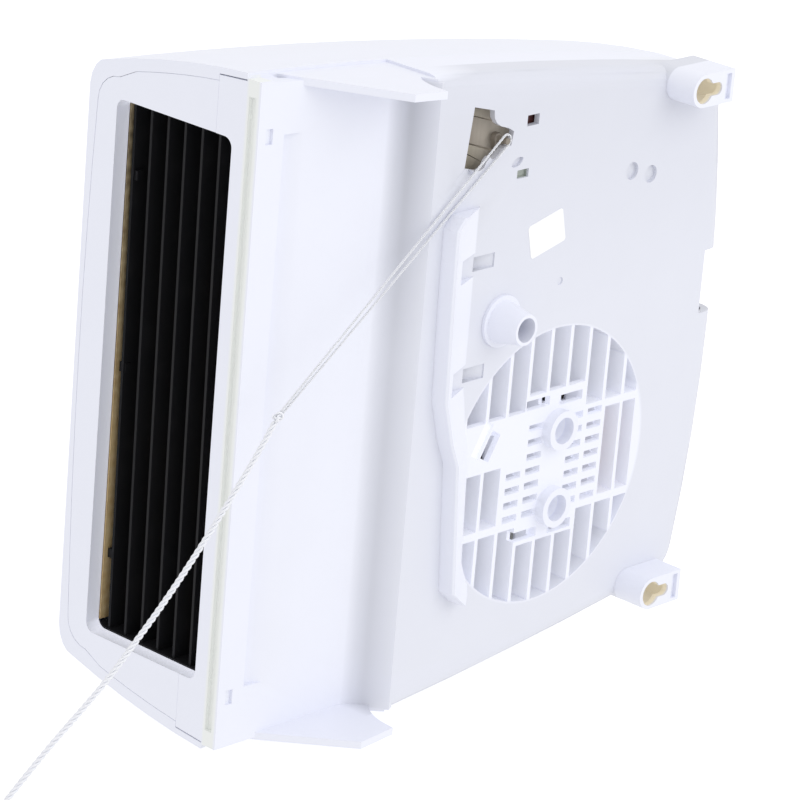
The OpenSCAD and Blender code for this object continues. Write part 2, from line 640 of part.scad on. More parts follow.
module rear_chassis() color(plastic_white) lift() difference() {
    union() {
        difference() {
            union() {
                tray();
                ramp();
                pin(post_x, post_z, post_foot_r, panel_d - 1.5, panel_d + panel_t);
            }
            slab(0, panel_d + panel_t + 1) grille_area();
            slab(panel_d - 1, panel_d + panel_t + 1) polygon(window);
        }
        difference() {
            grille();
            slab(panel_d - 1, panel_d + panel_t + 1) island_slots();
        }
        for (x = motor_screw_x) pin(x, fan_z, cup_r, cup_top_d, cup_end_d);
        duct_wall();
        cover_lip();
        cheeks();
        gussets();
        for (s = [-1, 1]) key_boss(s);
        translate([post_x, 0, post_z]) rotate([90, 0, 0])
            cylinder(r1 = post_end_r, r2 = post_r, h = panel_d + 1);
        pin(post_x, post_z, post_r, panel_d, post_floor_d + panel_t);
        // backings of the blind window and of the side slots
        block(blind_window[0] - backing_t, blind_window[1] + backing_t, panel_d + 1,
              panel_d + blind_deep + 1, blind_window[2] - backing_t, blind_window[3] + backing_t);
        for (s = side_slots)
            block(s[0] - slot_half - backing_t, s[0] + slot_half + backing_t, panel_d + 1, backing_d,
                  s[1] - slot_reach - backing_t, s[1] + slot_reach + backing_t);
        for (q = scroll_posts) pin(q[0], q[1], strut_r, panel_d + 1, scroll_d0);
        for (q = switch_posts) pin(q[0], q[1], strut_r, panel_d + 1, switch_post_d);
    }
    for (x = motor_screw_x) {
        pin(x, fan_z, cup_bore_r, 0, cup_floor_d);
        pin(x, fan_z, screw_r + screw_play, cup_floor_d - 1, cup_end_d + 1);
    }
    for (s = [-1, 1]) {
        key_cut(s);
        // a shallow recess beside each end of the groove
        block(s * catch_x - 3, s * catch_x + 3, duct_foot_d - 4, duct_foot_d + catch_deep,
              catch_z - catch_half, catch_z + catch_half);
    }
    pin(post_x, post_z, post_bore_r, -1, post_floor_d);
    pin(post_x, post_z, screw_r + screw_play, -1, post_floor_d + panel_t + 1);
    for (q = scroll_posts)
        pin(q[0], q[1], strut_bore_r + screw_play, scroll_d0 - strut_bore_len, scroll_d0 + 1);
    for (q = switch_posts)
        pin(q[0], q[1], strut_bore_r + screw_play, switch_post_d - switch_bore_len, switch_post_d + 1);
    for (h = recesses) pin(h[0], h[1], h[2], panel_d - 1, panel_d + h[3]);
    block(contact_window[0], contact_window[1], panel_d - 1, panel_d + panel_t + 1,
          contact_window[2], contact_window[3]);
    block(blind_window[0], blind_window[1], panel_d - 1, panel_d + blind_deep,
          blind_window[2], blind_window[3]);
    // the lens is what two circles share
    slab(panel_d - 1, panel_d + lens_deep) intersection() {
        translate(lens_at + lens_side) circle(r = lens_r);
        translate(lens_at - lens_side) circle(r = lens_r);
    }
    hook_slot();
    chute();
    // pockets in the ramp, and slots whose floors slope down to a small opening
    for (s = side_slots) let (low = s[1] - slot_reach, high = s[1] + slot_reach,
                              deep = backing_d - backing_t) {
        block(s[0] - 4.8, s[0] + 4.8, 0, panel_d, s[1] - 18, s[1] - 1);
        span(s[0] - slot_half, s[0] + slot_half) polygon([[1 - panel_d, low], [-deep, low],
            [-deep, low + slot_end], [-panel_d - 0.6, high], [1 - panel_d, high]]);
        block(s[0] - slot_half, s[0] + slot_half, panel_d, backing_d + 1, low, low + slot_end);
    }
    // the slanting pocket and slot at the corner of the grille's plate
    translate([-24, 0, 115.5]) rotate([0, -30, 0]) {
        block(-7.5, 7.5, ramp_d - 1, panel_d + 1, -4, 1);
        block(-6.5, 5.5, ramp_d - 1, panel_d + panel_t + 1, 2, 7.5);
    }
    // the cable entry at the top edge
    block(notch_x0, notch_x1, 0, lip_d + 2, notch_low, body_h + 10);
    // the long groove across the duct's rear wall
    span(3 - catch_x, catch_x) polygon([[duct_y(groove_high), groove_high],
        [duct_y(groove_mid) - groove_deep, groove_mid], [duct_y(groove_low) - groove_deep, groove_low],
        [duct_y(groove_low) + 4, groove_low], [duct_y(groove_high) + 4, groove_high]]);
}

label_at = [56.5, 141];
label_size = [14, 20];
label_turn = 14;
label_t = 0.2;

module blank_label() color([0.98, 0.98, 0.97]) lift()
    translate([label_at[0], -panel_d + label_t, label_at[1]]) rotate([0, label_turn, 0]) rotate([90, 0, 0])
        linear_extrude(label_t) difference() {
            square(label_size, center = true);
            for (sx = [-1, 1]) for (sz = [-1, 1]) translate([sx * label_size[0] / 2, sz * label_size[1] / 2])
                rotate(45) square(1.2, center = true);
        }

// ---- fan ----

scroll_r0 = impeller_r + 4;
scroll_r1 = impeller_r + 13;
scroll_margin = 10;
scroll_d1 = outlet_d1 - scroll_margin;
scroll_plate = 2;
inlet_r = 40;
neck_z = 112;
mica_z0 = louvre_z1;
mica_z1 = mica_z0 + mica_h;
flange_t = 2;
flare_z = mica_z1 + flange_t + 4;
flare_x = outlet_half - 4;
spiral_a0 = 205;
spiral_a1 = 0;

// the scroll's outline: a spiral over the top, then a duct that widens to the heating element
function scroll_outline(grow = 0) = concat(
    [for (k = [0:1 / 24:1]) let (a = spiral_a0 + (spiral_a1 - spiral_a0) * k,
                                 r = scroll_r0 + (scroll_r1 - scroll_r0) * k + grow)
        [fan_x + r * cos(a), fan_z + r * sin(a)]],
    [[fan_x + scroll_r1 + grow, neck_z + grow / 2], [flare_x + grow, flare_z + grow / 2],
     [flare_x + grow, mica_z1 - 1], [-flare_x - grow, mica_z1 - 1], [-flare_x - grow, flare_z + grow / 2]]);

mica_half = outlet_half - 3;
mica_d0 = outlet_d0 + 2;
mica_d1 = lining_d + mica_t;
lug_reach = 18;

module scroll_lug(at) let (v = [fan_x - at[0], fan_z - at[1]], u = v / norm(v))
    hull() for (k = [0, lug_reach]) translate(at + u * k) circle(r = strut_r + 1);

module fan_scroll() color(fan_grey) lift() {
    difference() {
        union() {
            slab(scroll_d0, scroll_d1 - scroll_plate) polygon(scroll_outline(scroll_t));
            slab(scroll_d0, scroll_d0 + scroll_plate) for (q = scroll_posts) scroll_lug(q);
        }
        slab(scroll_d0 + scroll_plate, scroll_d1) polygon(scroll_outline());
        pin(fan_x, fan_z, inlet_r, scroll_d0 - 1, scroll_d0 + scroll_plate + 1);
        for (q = scroll_posts)
            pin(q[0], q[1], strut_bore_r + screw_play, scroll_d0 - 1, scroll_d0 + scroll_plate + 1);
        block(-flare_x - 10, flare_x + 10, 0, 200, 0, mica_z1);
    }
    // the flange that sits on the heating element's frame
    difference() {
        block(-mica_half, mica_half, mica_d0, mica_d1, mica_z1, mica_z1 + flange_t);
        block(-flare_x, flare_x, scroll_d0 + scroll_plate, scroll_d1 - scroll_plate,
              mica_z1 - 1, mica_z1 + flange_t + 1);
    }
}

module scroll_lid() color(fan_grey) lift() difference() {
    slab(scroll_d1 - scroll_plate, scroll_d1) polygon(scroll_outline(scroll_t));
    block(-flare_x - 10, flare_x + 10, 0, 200, 0, mica_z1 + flange_t);
}

impeller_d0 = scroll_d0 + scroll_plate + 2;
disc_t = 2;
impeller_d1 = scroll_d1 - scroll_plate - impeller_play - disc_t;
blade_len = 8;
blade_t = 0.8;
blade_turn = 35;
hub_r = 7;
hub_len = 16;

module impeller() color(fan_grey) lift() {
    difference() {
        pin(fan_x, fan_z, impeller_r, impeller_d1, impeller_d1 + disc_t);
        pin(fan_x, fan_z, hub_r, impeller_d1 - 1, impeller_d1 + disc_t + 1);
    }
    difference() {
        pin(fan_x, fan_z, impeller_r, impeller_d0, impeller_d0 + disc_t);
        pin(fan_x, fan_z, impeller_r - blade_len, impeller_d0 - 1, impeller_d0 + disc_t + 1);
    }
    slab(impeller_d0, impeller_d1 + 1) translate([fan_x, fan_z]) for (i = [0:blade_count - 1])
        rotate(i * 360 / blade_count) translate([impeller_r - blade_len / 2, 0]) rotate(blade_turn)
            square([blade_len * 0.95, blade_t], center = true);
}

// the bush pressed into the wheel's disc and onto the shaft
module impeller_hub() color(steel_grey) lift() difference() {
    pin(fan_x, fan_z, hub_r, impeller_d1 + disc_t - hub_len, impeller_d1 + disc_t);
    pin(fan_x, fan_z, shaft_r, impeller_d0, impeller_d1 + disc_t + 1);
}

stack_d0 = 33;
stack_d1 = stack_d0 + stack_t;
bracket_t = 2;
bracket_hub_r = 6;
hub_reach = 7;
bracket_w = 14;
bracket_end = 6;
shaft_d0 = stack_d0 - hub_reach;
rotor_gap = 1.5;
stack_half = 30;
stack_low = 17;
limb_w = 12;
core_z0 = fan_z + 27;
core_z1 = core_z0 + limb_w;

module motor_shaft() color(steel_grey) lift()
    pin(fan_x, fan_z, shaft_r, shaft_d0, impeller_d1 + disc_t + impeller_play / 2);

module motor_rotor() color(steel_grey) lift() difference() {
    union() {
        pin(fan_x, fan_z, rotor_r, stack_d0 + rotor_gap, stack_d1 - rotor_gap);
        pin(fan_x, fan_z, rotor_r * 0.45, stack_d0 + rotor_gap / 3, stack_d1 - rotor_gap / 3);
    }
    pin(fan_x, fan_z, shaft_r, stack_d0, stack_d1);
}

module motor_stack() color([0.35, 0.35, 0.37]) lift() difference() {
    block(fan_x - stack_half, fan_x + stack_half, stack_d0, stack_d1, fan_z - stack_low, core_z1);
    block(fan_x - stack_half + limb_w, fan_x + stack_half - limb_w, stack_d0 - 1, stack_d1 + 1,
          fan_z + stack_low, core_z0);
    pin(fan_x, fan_z, rotor_r + air_gap, stack_d0 - 1, stack_d1 + 1);
    for (x = motor_screw_x) pin(x, fan_z, screw_r + screw_play, stack_d0 - 1, stack_d1 + 1);
}

coil_half = 16;
coil_wall = 6;
coil_play = 0.2;

module motor_coil() color([0.62, 0.33, 0.12]) lift() difference() {
    block(fan_x - coil_half, fan_x + coil_half, stack_d0 - coil_wall, stack_d1 + coil_wall,
          core_z0 - coil_wall, core_z1 + coil_wall);
    block(fan_x - coil_half - 1, fan_x + coil_half + 1, stack_d0 - coil_play, stack_d1 + coil_play,
          core_z0 - coil_play, core_z1 + coil_play);
}

// a strap over the rotor with a bearing in its middle: d0 is its face on the stack, dir the way it points
module bearing_bracket(d0, dir) let (a = min(d0, d0 + dir * bracket_t), b = min(d0, d0 + dir * hub_reach))
difference() {
    union() {
        block(motor_screw_x[0] - bracket_end, motor_screw_x[1] + bracket_end, a, a + bracket_t,
              fan_z - bracket_w / 2, fan_z + bracket_w / 2);
        pin(fan_x, fan_z, bracket_hub_r, b, b + hub_reach);
    }
    pin(fan_x, fan_z, shaft_r + bearing_play, b - 1, b + hub_reach + 1);
    for (x = motor_screw_x) pin(x, fan_z, screw_r + screw_play, a - 1, a + bracket_t + 1);
}

module rear_bearing_bracket() color(steel_grey) lift() {
    bearing_bracket(stack_d0, -1);
    // spacers that stand on the chassis cups
    for (x = motor_screw_x) difference() {
        pin(x, fan_z, strut_r, cup_end_d, stack_d0 - bracket_t);
        pin(x, fan_z, screw_r + screw_play, cup_end_d - 1, stack_d0 - bracket_t + 1);
    }
}

module front_bearing_bracket() color(steel_grey) lift() bearing_bracket(stack_d1, 1);

// a screw with a round head: x, height, depth of the head's seat, way the shank points, lengths and radii
module screw(x, z, seat, dir, len, r, head) {
    pin(x, z, r, min(seat, seat + dir * len), max(seat, seat + dir * len));
    difference() {
        pin(x, z, head, min(seat, seat - dir * head_t), max(seat, seat - dir * head_t));
        for (a = [0, 90]) translate([x, -(seat - dir * head_t), z]) rotate([0, a, 0])
            cube([head * 1.2, 1.4, 0.9], center = true);
    }
}

module motor_screws() color(steel_grey) lift() for (x = motor_screw_x) {
    screw(x, fan_z, cup_floor_d, 1, stack_d1 + bracket_t + 2 - cup_floor_d, screw_r, head_r);
    difference() {
        pin(x, fan_z, head_r, stack_d1 + bracket_t, stack_d1 + bracket_t + 2);
        pin(x, fan_z, screw_r - 0.1, stack_d1 + bracket_t - 1, stack_d1 + bracket_t + 3);
    }
}

module scroll_screws() color(steel_grey) lift() for (q = scroll_posts)
    screw(q[0], q[1], scroll_d0 + scroll_plate, -1, strut_bore_len - 2, strut_bore_r, small_head_r);

module cover_screw() color(steel_grey) lift()
    screw(post_x, post_z, post_floor_d, 1, cover_screw_len, screw_r, head_r);

module switch_screws() color(steel_grey) lift() for (q = switch_posts)
    screw(q[0], q[1], switch_post_d + ear_t, -1, switch_bore_len, strut_bore_r, small_head_r);

// ---- heating element ----

cross_count = 4;
coil_rows = [mica_z0 + mica_h * 0.3, mica_z0 + mica_h * 0.72];
winding_play = 0.1;
board_gap = (mica_d1 - mica_d0 - mica_t) / (mica_count - 1);
end_x = mica_half - mica_t;

module mica_frame() color(mica_tan) lift() difference() {
    union() {
        for (i = [0:mica_count - 1]) let (d = mica_d0 + board_gap * i)
            block(-mica_half, mica_half, d, d + mica_t, mica_z0, mica_z1);
        for (i = [0:cross_count - 1]) let (x = -mica_half + (2 * mica_half - mica_t) * i / (cross_count - 1))
            block(x, x + mica_t, mica_d0, mica_d1, mica_z0, mica_z1);
        // the front board reaches down to the outlet's rim and lines the wall in front of the louvre
        block(-mica_half, mica_half, lining_d, mica_d1, louvre_z0 + mica_lip, mica_z0 + 1);
    }
    for (i = [0:mica_count - 2]) for (z = coil_rows)
        bar_x(mica_d0 + board_gap * (i + 0.5) + mica_t / 2, z, coil_r + winding_play, -end_x, end_x);
}

module heating_wire() color([0.45, 0.42, 0.4]) lift() for (i = [0:mica_count - 2]) for (z = coil_rows)
    bar_x(mica_d0 + board_gap * (i + 0.5) + mica_t / 2, z, coil_r, -end_x, end_x);

cutout_d = mica_d0 + 24;
cutout_z = mica_z0 + mica_h / 2;
cutout_r = 8;

module thermal_cutout() color([0.15, 0.13, 0.12]) lift() {
    bar_x(cutout_d, cutout_z, cutout_r, mica_half, mica_half + 5);
    bar_x(cutout_d, cutout_z, cutout_r - 2, mica_half + 4, mica_half + 8);
    block(mica_half, mica_half + 0.8, cutout_d - 12, cutout_d + 12, cutout_z - 4, cutout_z + 4);
}

fuse_r = 2;
fuse_len = 12;
fuse_lead_r = 0.6;
fuse_lead_len = 32;
fuse_mid_d = mica_d0 + 36;

module thermal_fuse() color([0.75, 0.72, 0.6]) lift()
    for (bar = [[fuse_r, fuse_len], [fuse_lead_r, fuse_lead_len]])
        pin(-mica_half - fuse_r, cutout_z, bar[0], fuse_mid_d - bar[1] / 2, fuse_mid_d + bar[1] / 2);

// ---- pull switch and cord ----

lever_t = 2.7;
lever_d0 = panel_d + panel_t + 0.5;
lever_d1 = lever_d0 + lever_t;
switch_d0 = lever_d1 + 2.8;
switch_d1 = 42;
switch_x0 = 84;
switch_x1 = 115;
switch_z0 = 82;
switch_z1 = 126;
// the raised pad on the switch's face, behind the window, and the joints cut in it: ends and width
switch_pad_d = switch_d0 - 1.4;
switch_pad = [[85, 83], [112, 83], [112, 97], [108.5, 113], [108.5, 123], [85, 123]];
pad_joints = [[[109.4, 96], [104.6, 111.5], 0.35], [[98.4, 96], [92.4, 113.6], 0.55],
              [[93.6, 98], [88.1, 108.6], 0.3]];
// the contact block on the switch's upper end
contacts_x = [99, 110];
contacts_h = 13;
contacts_d1 = 30;
ear_t = 2.5;
pin_r = 1.5;
lever_play = 0.05;
lever_boss_r = 3;
hook_tip = 0.9;
side_dir = [-pull_dir[1], pull_dir[0]];
// the lever's pivot: its hook swings evenly to both sides of the cord's line
pivot = cord_hook - lever_r * (side_dir * cos(half_turn) - pull_dir * sin(half_turn));

module switch_body() color(switch_brown) lift() difference() {
    union() {
        block(switch_x0, switch_x1, switch_d0, switch_d1, switch_z0, switch_z1);
        slab(switch_pad_d, switch_d0 + 1) difference() {
            polygon(switch_pad);
            translate(pivot) circle(r = spring_r + spring_wire_r + 0.4);
            for (g = pad_joints) let (v = g[1] - g[0])
                translate(g[0]) rotate(atan2(v[1], v[0])) translate([0, -g[2] / 2]) square([norm(v), g[2]]);
        }
        block(switch_x0 + 6, switch_x1 - 6, switch_d1 - 1, switch_d1 + 6, switch_z0 + 8, switch_z1 - 14);
        for (q = switch_posts)
            block(q[0] - strut_r - 0.5, switch_x0 + 1, switch_post_d, switch_post_d + ear_t,
                  q[1] - strut_r, q[1] + strut_r);
        // the foot that stands on the panel
        block(switch_x0 + 2, switch_x1 - 4, panel_d + panel_t, switch_d0 + 1, switch_z0 - 2, switch_z0 + 3);
    }
    pin(pivot[0], pivot[1], pin_r, switch_d0 - 1, switch_d0 + 6);
    for (q = switch_posts)
        pin(q[0], q[1], strut_bore_r + screw_play, switch_post_d - 1, switch_post_d + ear_t + 1);
}

module switch_contacts() color([0.2, 0.09, 0.09]) lift() difference() {
    block(contacts_x[0], contacts_x[1], panel_d + panel_t + 1, contacts_d1,
          switch_z1, switch_z1 + contacts_h);
    for (x = [contacts_x[0] + 3, contacts_x[1] - 3])
        block(x - 0.6, x + 0.6, switch_d0, contacts_d1 + 1, switch_z1 + 4, switch_z1 + contacts_h + 1);
}

module switch_lever() color(switch_brown) lift() difference() {
    union() {
        slab(lever_d0, lever_d1) hull() {
            translate(pivot) circle(r = lever_boss_r);
            translate(cord_hook) circle(r = hook_r + 0.9);
        }
        pin(cord_hook[0], cord_hook[1], hook_r, cord_d - hook_tip, lever_d1);
    }
    pin(pivot[0], pivot[1], pin_r + lever_play, lever_d0 - 1, lever_d1 + 1);
}

module lever_pin() color(steel_grey) lift() {
    pin(pivot[0], pivot[1], pin_r, lever_d0, switch_d0 + 6);
    pin(pivot[0], pivot[1], pin_r + 1.2, lever_d1 + 0.1, lever_d1 + 0.6);
}

spring_wire_r = 0.5;
spring_r = pin_r + 1.3;

module lever_spring() color(steel_grey) lift() {
    translate([pivot[0], -switch_d0, pivot[1]]) rotate([90, 0, 0]) for (i = [0:1])
        translate([0, 0, -spring_wire_r - 2 * spring_wire_r * i])
            rotate_extrude() translate([spring_r, 0]) circle(r = spring_wire_r, $fn = 16);
}

// a tube of n sides swept along points
function tube_ring(p, dir, r, n) =
    let (w = dir / norm(dir), u0 = cross(w, [0, 1, 0]), u = u0 / norm(u0), v = cross(w, u))
    [for (k = [0:n - 1]) p + r * (cos(360 * k / n) * u + sin(360 * k / n) * v)];
function tube_rings(pts, r, n) = let (m = len(pts))
    [for (i = [0:m - 1]) tube_ring(pts[i], pts[min(i + 1, m - 1)] - pts[max(i - 1, 0)], r, n)];

// a smooth curve through points
function spline(p, steps) = let (m = len(p))
    concat([for (i = [0:m - 2]) let (a = p[max(i - 1, 0)], b = p[i], c = p[i + 1], e = p[min(i + 2, m - 1)])
        for (k = [0:steps - 1]) let (t = k / steps)
            b + 0.5 * t * (c - a + t * (2 * a - 5 * b + 4 * c - e + t * (3 * b - 3 * c + e - a)))],
        [p[m - 1]]);

module cord_tube(points, d, steps) loft(tube_rings(spline(points, steps), d / 2, 8));

knot_r = 2.6;
// how far from the knot's middle the cords begin
knot_sink = knot_r - 0.3;
loop_shift = lever_r * (1 - cos(half_turn)) / 2;
loop_r = hook_r + hook_play + loop_shift;
loop_at = cord_hook + side_dir * loop_shift;
// the lower cord's route below the knot: x and height from the underside
lower_route = [[10.8, -2.5], [-5, -14.5], [-30, -36], [-48, -53], [-63, -69], [-76, -84], [-94, -109],
               [-114, -134]];
knot_first = (lower_route[1] - lower_route[0]) / norm(lower_route[1] - lower_route[0]);
knob_dir = (lower_route[7] - lower_route[6]) / norm(lower_route[7] - lower_route[6]);

function in_cord_plane(q) = [q[0], -cord_d, q[1]];

// a long loop from the knot over the hook and back
loop_mid_r = loop_r + upper_cord_d / 2;
leg_end = cord_knot_at - pull_dir * knot_sink;
leg_gap = upper_cord_d / 2 + 0.1;
loop_path = concat(
    [for (k = [0:0.2:1]) leg_end + side_dir * leg_gap + (loop_at + side_dir * loop_mid_r
        - leg_end - side_dir * leg_gap) * k],
    [for (a = [22.5:22.5:157.5]) loop_at + loop_mid_r * (side_dir * cos(a) - pull_dir * sin(a))],
    [for (k = [1:-0.2:0]) leg_end - side_dir * leg_gap + (loop_at - side_dir * loop_mid_r
        - leg_end + side_dir * leg_gap) * k]);

module upper_cord() color(cord_white) lift()
    loft(tube_rings([for (q = loop_path) in_cord_plane(q)], upper_cord_d / 2, 8));

module cord_knot() color(cord_white) lift()
    translate(in_cord_plane(cord_knot_at)) sphere(r = knot_r, $fn = 24);

module lower_cord() color(cord_white) lift()
    cord_tube([for (q = concat([cord_knot_at + knot_first * knot_sink],
        [for (i = [1:7]) lower_route[i]])) in_cord_plane(q)], lower_cord_d, 6);

knob_len = 26;
knob_r0 = 3.2;
knob_r1 = 8;

module pull_knob() color(cord_white) lift() translate(in_cord_plane(lower_route[7]))
    rotate([0, 90 - atan2(knob_dir[1], knob_dir[0]), 0]) rotate_extrude()
        polygon([[0, 0], [knob_r0, 0], [knob_r0 + 0.8, 4], [knob_r1 - 1.5, 15], [knob_r1, 20],
                 [knob_r1 - 0.6, 23.5], [knob_r1 - 3, knob_len - 0.5], [0, knob_len]]);

// ---- mains connection ----

block_x0 = 7;
block_x1 = 33;
clamp_z1 = body_h - 16;
clamp_z0 = clamp_z1 - 9;
clamp_mid = (clamp_z0 + clamp_z1) / 2;
block_z1 = clamp_z0 - 5;
block_z0 = block_z1 - 14;
block_d0 = panel_d + panel_t;
block_d1 = block_d0 + 15;
pole_count = 3;
pole_pitch = (block_x1 - block_x0) / pole_count;
terminal_r = 2.4;

module terminal_block() color([0.9, 0.9, 0.86]) lift() difference() {
    block(block_x0, block_x1, block_d0, block_d1, block_z0, block_z1);
    for (i = [0:pole_count - 1]) let (x = block_x0 + pole_pitch * (i + 0.5))
        for (z = [block_z0 + 4, block_z1 - 4]) pin(x, z, terminal_r, block_d1 - 4, block_d1 + 1);
    for (i = [1:pole_count - 1]) let (x = block_x0 + pole_pitch * i)
        block(x - 0.6, x + 0.6, block_d1 - 5, block_d1 + 1, block_z0 - 1, block_z1 + 1);
}

module terminal_screws() color([0.8, 0.65, 0.3]) lift() for (i = [0:pole_count - 1])
    let (x = block_x0 + pole_pitch * (i + 0.5)) for (z = [block_z0 + 4, block_z1 - 4]) difference() {
        pin(x, z, terminal_r - 0.2, block_d1 - 4, block_d1 - 1);
        translate([x, -block_d1 + 1, z]) cube([2 * terminal_r, 1, 0.8], center = true);
    }

clamp_d0 = block_d0 + 9;
clamp_t = 3;
clamp_screw_x = [block_x0 + 1, block_x1 - 1];

module cable_clamp() color(plastic_white) lift() difference() {
    union() {
        block(block_x0 - 3, block_x1 + 3, clamp_d0, clamp_d0 + clamp_t, clamp_z0, clamp_z1);
        for (x = clamp_screw_x) pin(x, clamp_mid, strut_r, block_d0, clamp_d0 + 1);
    }
    for (x = clamp_screw_x)
        pin(x, clamp_mid, strut_bore_r + screw_play, block_d0 - 1, clamp_d0 + clamp_t + 1);
}

module clamp_screws() color(steel_grey) lift() for (x = clamp_screw_x)
    screw(x, clamp_mid, clamp_d0 + clamp_t, -1, clamp_d0 + clamp_t - block_d0, strut_bore_r, small_head_r);

wire_d = 2.4;
// play between a wire's end and the piece that it runs to
wire_play = 0.5;
pole_x = [for (i = [0:pole_count - 1]) block_x0 + pole_pitch * (i + 0.5)];
terminal_d = block_d0 + 10.5;
cutout_end_x = mica_half + 6.6;
cutout_end_z = cutout_z + cutout_r - 2 + wire_play;
coil_end_z = core_z1 + coil_wall + wire_play;
// routes of the insulated wires: x, y and height
wire_routes = [
    [[pole_x[2], -terminal_d, block_z0 - wire_play], [pole_x[2], -terminal_d, block_z0 - 6],
     [40, -29, 190], [62, -31, 172], [86, -32, 150], [96, -32, 136], [96, -32, switch_z1 + wire_play]],
    [[pole_x[1], -terminal_d, block_z0 - wire_play], [pole_x[1], -terminal_d, block_z0 - 6],
     [33, -31.5, 198], [44, -33.5, 182], [60, -35, 162], [84, -37, 145], [90, -37, 135],
     [90, -37, switch_z1 + wire_play]],
    [[106, -36, switch_z0 - wire_play], [106, -36, switch_z0 - 6], [109, -46, 66], [cutout_end_x, -62, 56],
     [cutout_end_x, -cutout_d, cutout_end_z + 6], [cutout_end_x, -cutout_d, cutout_end_z]],
    [[fan_x, -30, coil_end_z], [fan_x, -30, coil_end_z + 5], [-36, -29, 214], [-20, -27, 217],
     [-4, -terminal_d + 1, 216], [block_x0 - 5, -terminal_d, 215], [block_x0 - wire_play, -terminal_d, 215]]];

module wiring() color([0.75, 0.75, 0.78]) lift() for (route = wire_routes) cord_tube(route, wire_d, 4);

front_cover();
outlet_bezel();
outlet_louvre();
rear_chassis();
blank_label();
fan_scroll();
scroll_lid();
impeller();
impeller_hub();
motor_shaft();
motor_rotor();
motor_stack();
motor_coil();
rear_bearing_bracket();
front_bearing_bracket();
motor_screws();
scroll_screws();
cover_screw();
mica_frame();
heating_wire();
thermal_cutout();
thermal_fuse();
switch_body();
switch_contacts();
switch_lever();
lever_pin();
lever_spring();
switch_screws();
upper_cord();
cord_knot();
lower_cord();
pull_knob();
terminal_block();
terminal_screws();
cable_clamp();
clamp_screws();
wiring();
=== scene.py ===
import json
import math

import bmesh
import bpy
from mathutils import Matrix, Vector


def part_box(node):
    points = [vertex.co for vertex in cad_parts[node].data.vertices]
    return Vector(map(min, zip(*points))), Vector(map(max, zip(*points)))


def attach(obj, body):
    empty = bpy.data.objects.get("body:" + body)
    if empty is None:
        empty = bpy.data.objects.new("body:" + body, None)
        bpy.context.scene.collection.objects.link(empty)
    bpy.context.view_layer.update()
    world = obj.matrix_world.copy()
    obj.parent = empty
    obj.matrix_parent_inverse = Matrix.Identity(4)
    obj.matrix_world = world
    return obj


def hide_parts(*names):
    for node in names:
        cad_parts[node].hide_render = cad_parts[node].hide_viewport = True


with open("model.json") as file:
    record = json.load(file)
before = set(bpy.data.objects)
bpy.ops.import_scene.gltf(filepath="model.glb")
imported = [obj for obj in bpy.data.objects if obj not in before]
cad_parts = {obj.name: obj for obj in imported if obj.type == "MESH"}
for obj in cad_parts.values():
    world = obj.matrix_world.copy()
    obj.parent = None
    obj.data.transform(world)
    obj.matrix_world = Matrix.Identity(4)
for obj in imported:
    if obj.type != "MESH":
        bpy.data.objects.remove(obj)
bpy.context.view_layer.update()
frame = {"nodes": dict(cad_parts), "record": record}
nodes = frame["nodes"]
print("frame loaded:", len(nodes), "pieces")

# the camera stands behind and below the heater, which lies on its left side
photoView = {
    "place": (0.5500, 1.0112, -1.2900),
    "aim": (0.0111, 0.0, -0.1630),
    "up": (0.939, -0.286, 0.192),
    "lens": 194.1,
    "sensor": 36.0,
    "far": 50.0,
}


def setCamera(view):
    data = bpy.data.cameras.new("photoCamera")
    data.lens = view["lens"]
    data.sensor_width = view["sensor"]
    data.clip_end = view["far"]
    back = (Vector(view["place"]) - Vector(view["aim"])).normalized()
    right = Vector(view["up"]).cross(back).normalized()
    turn = Matrix((right, back.cross(right), back)).transposed().to_4x4()
    camera = bpy.data.objects.new("photoCamera", data)
    camera.matrix_world = Matrix.Translation(view["place"]) @ turn
    bpy.context.scene.collection.objects.link(camera)
    bpy.context.scene.camera = camera


setCamera(photoView)
print("camera set")


class Signal:
    # one output in a tree, so that sums on it read as plain sums

    def __init__(self, tree, socket):
        self.tree = tree
        self.socket = socket

    def math(self, operation, *others):
        values = dict(enumerate((self, *others)))
        return self.tree.add("ShaderNodeMath", {"operation": operation}, values)

    def __add__(self, other):
        return self.math("ADD", other)

    __radd__ = __add__

    def __mul__(self, other):
        return self.math("MULTIPLY", other)

    def __sub__(self, other):
        return self.math("SUBTRACT", other)

    def __rsub__(self, other):
        return self.tree.signal(other).math("SUBTRACT", self)

    def __truediv__(self, other):
        return self.math("DIVIDE", other)

    def __abs__(self):
        return self.math("ABSOLUTE")


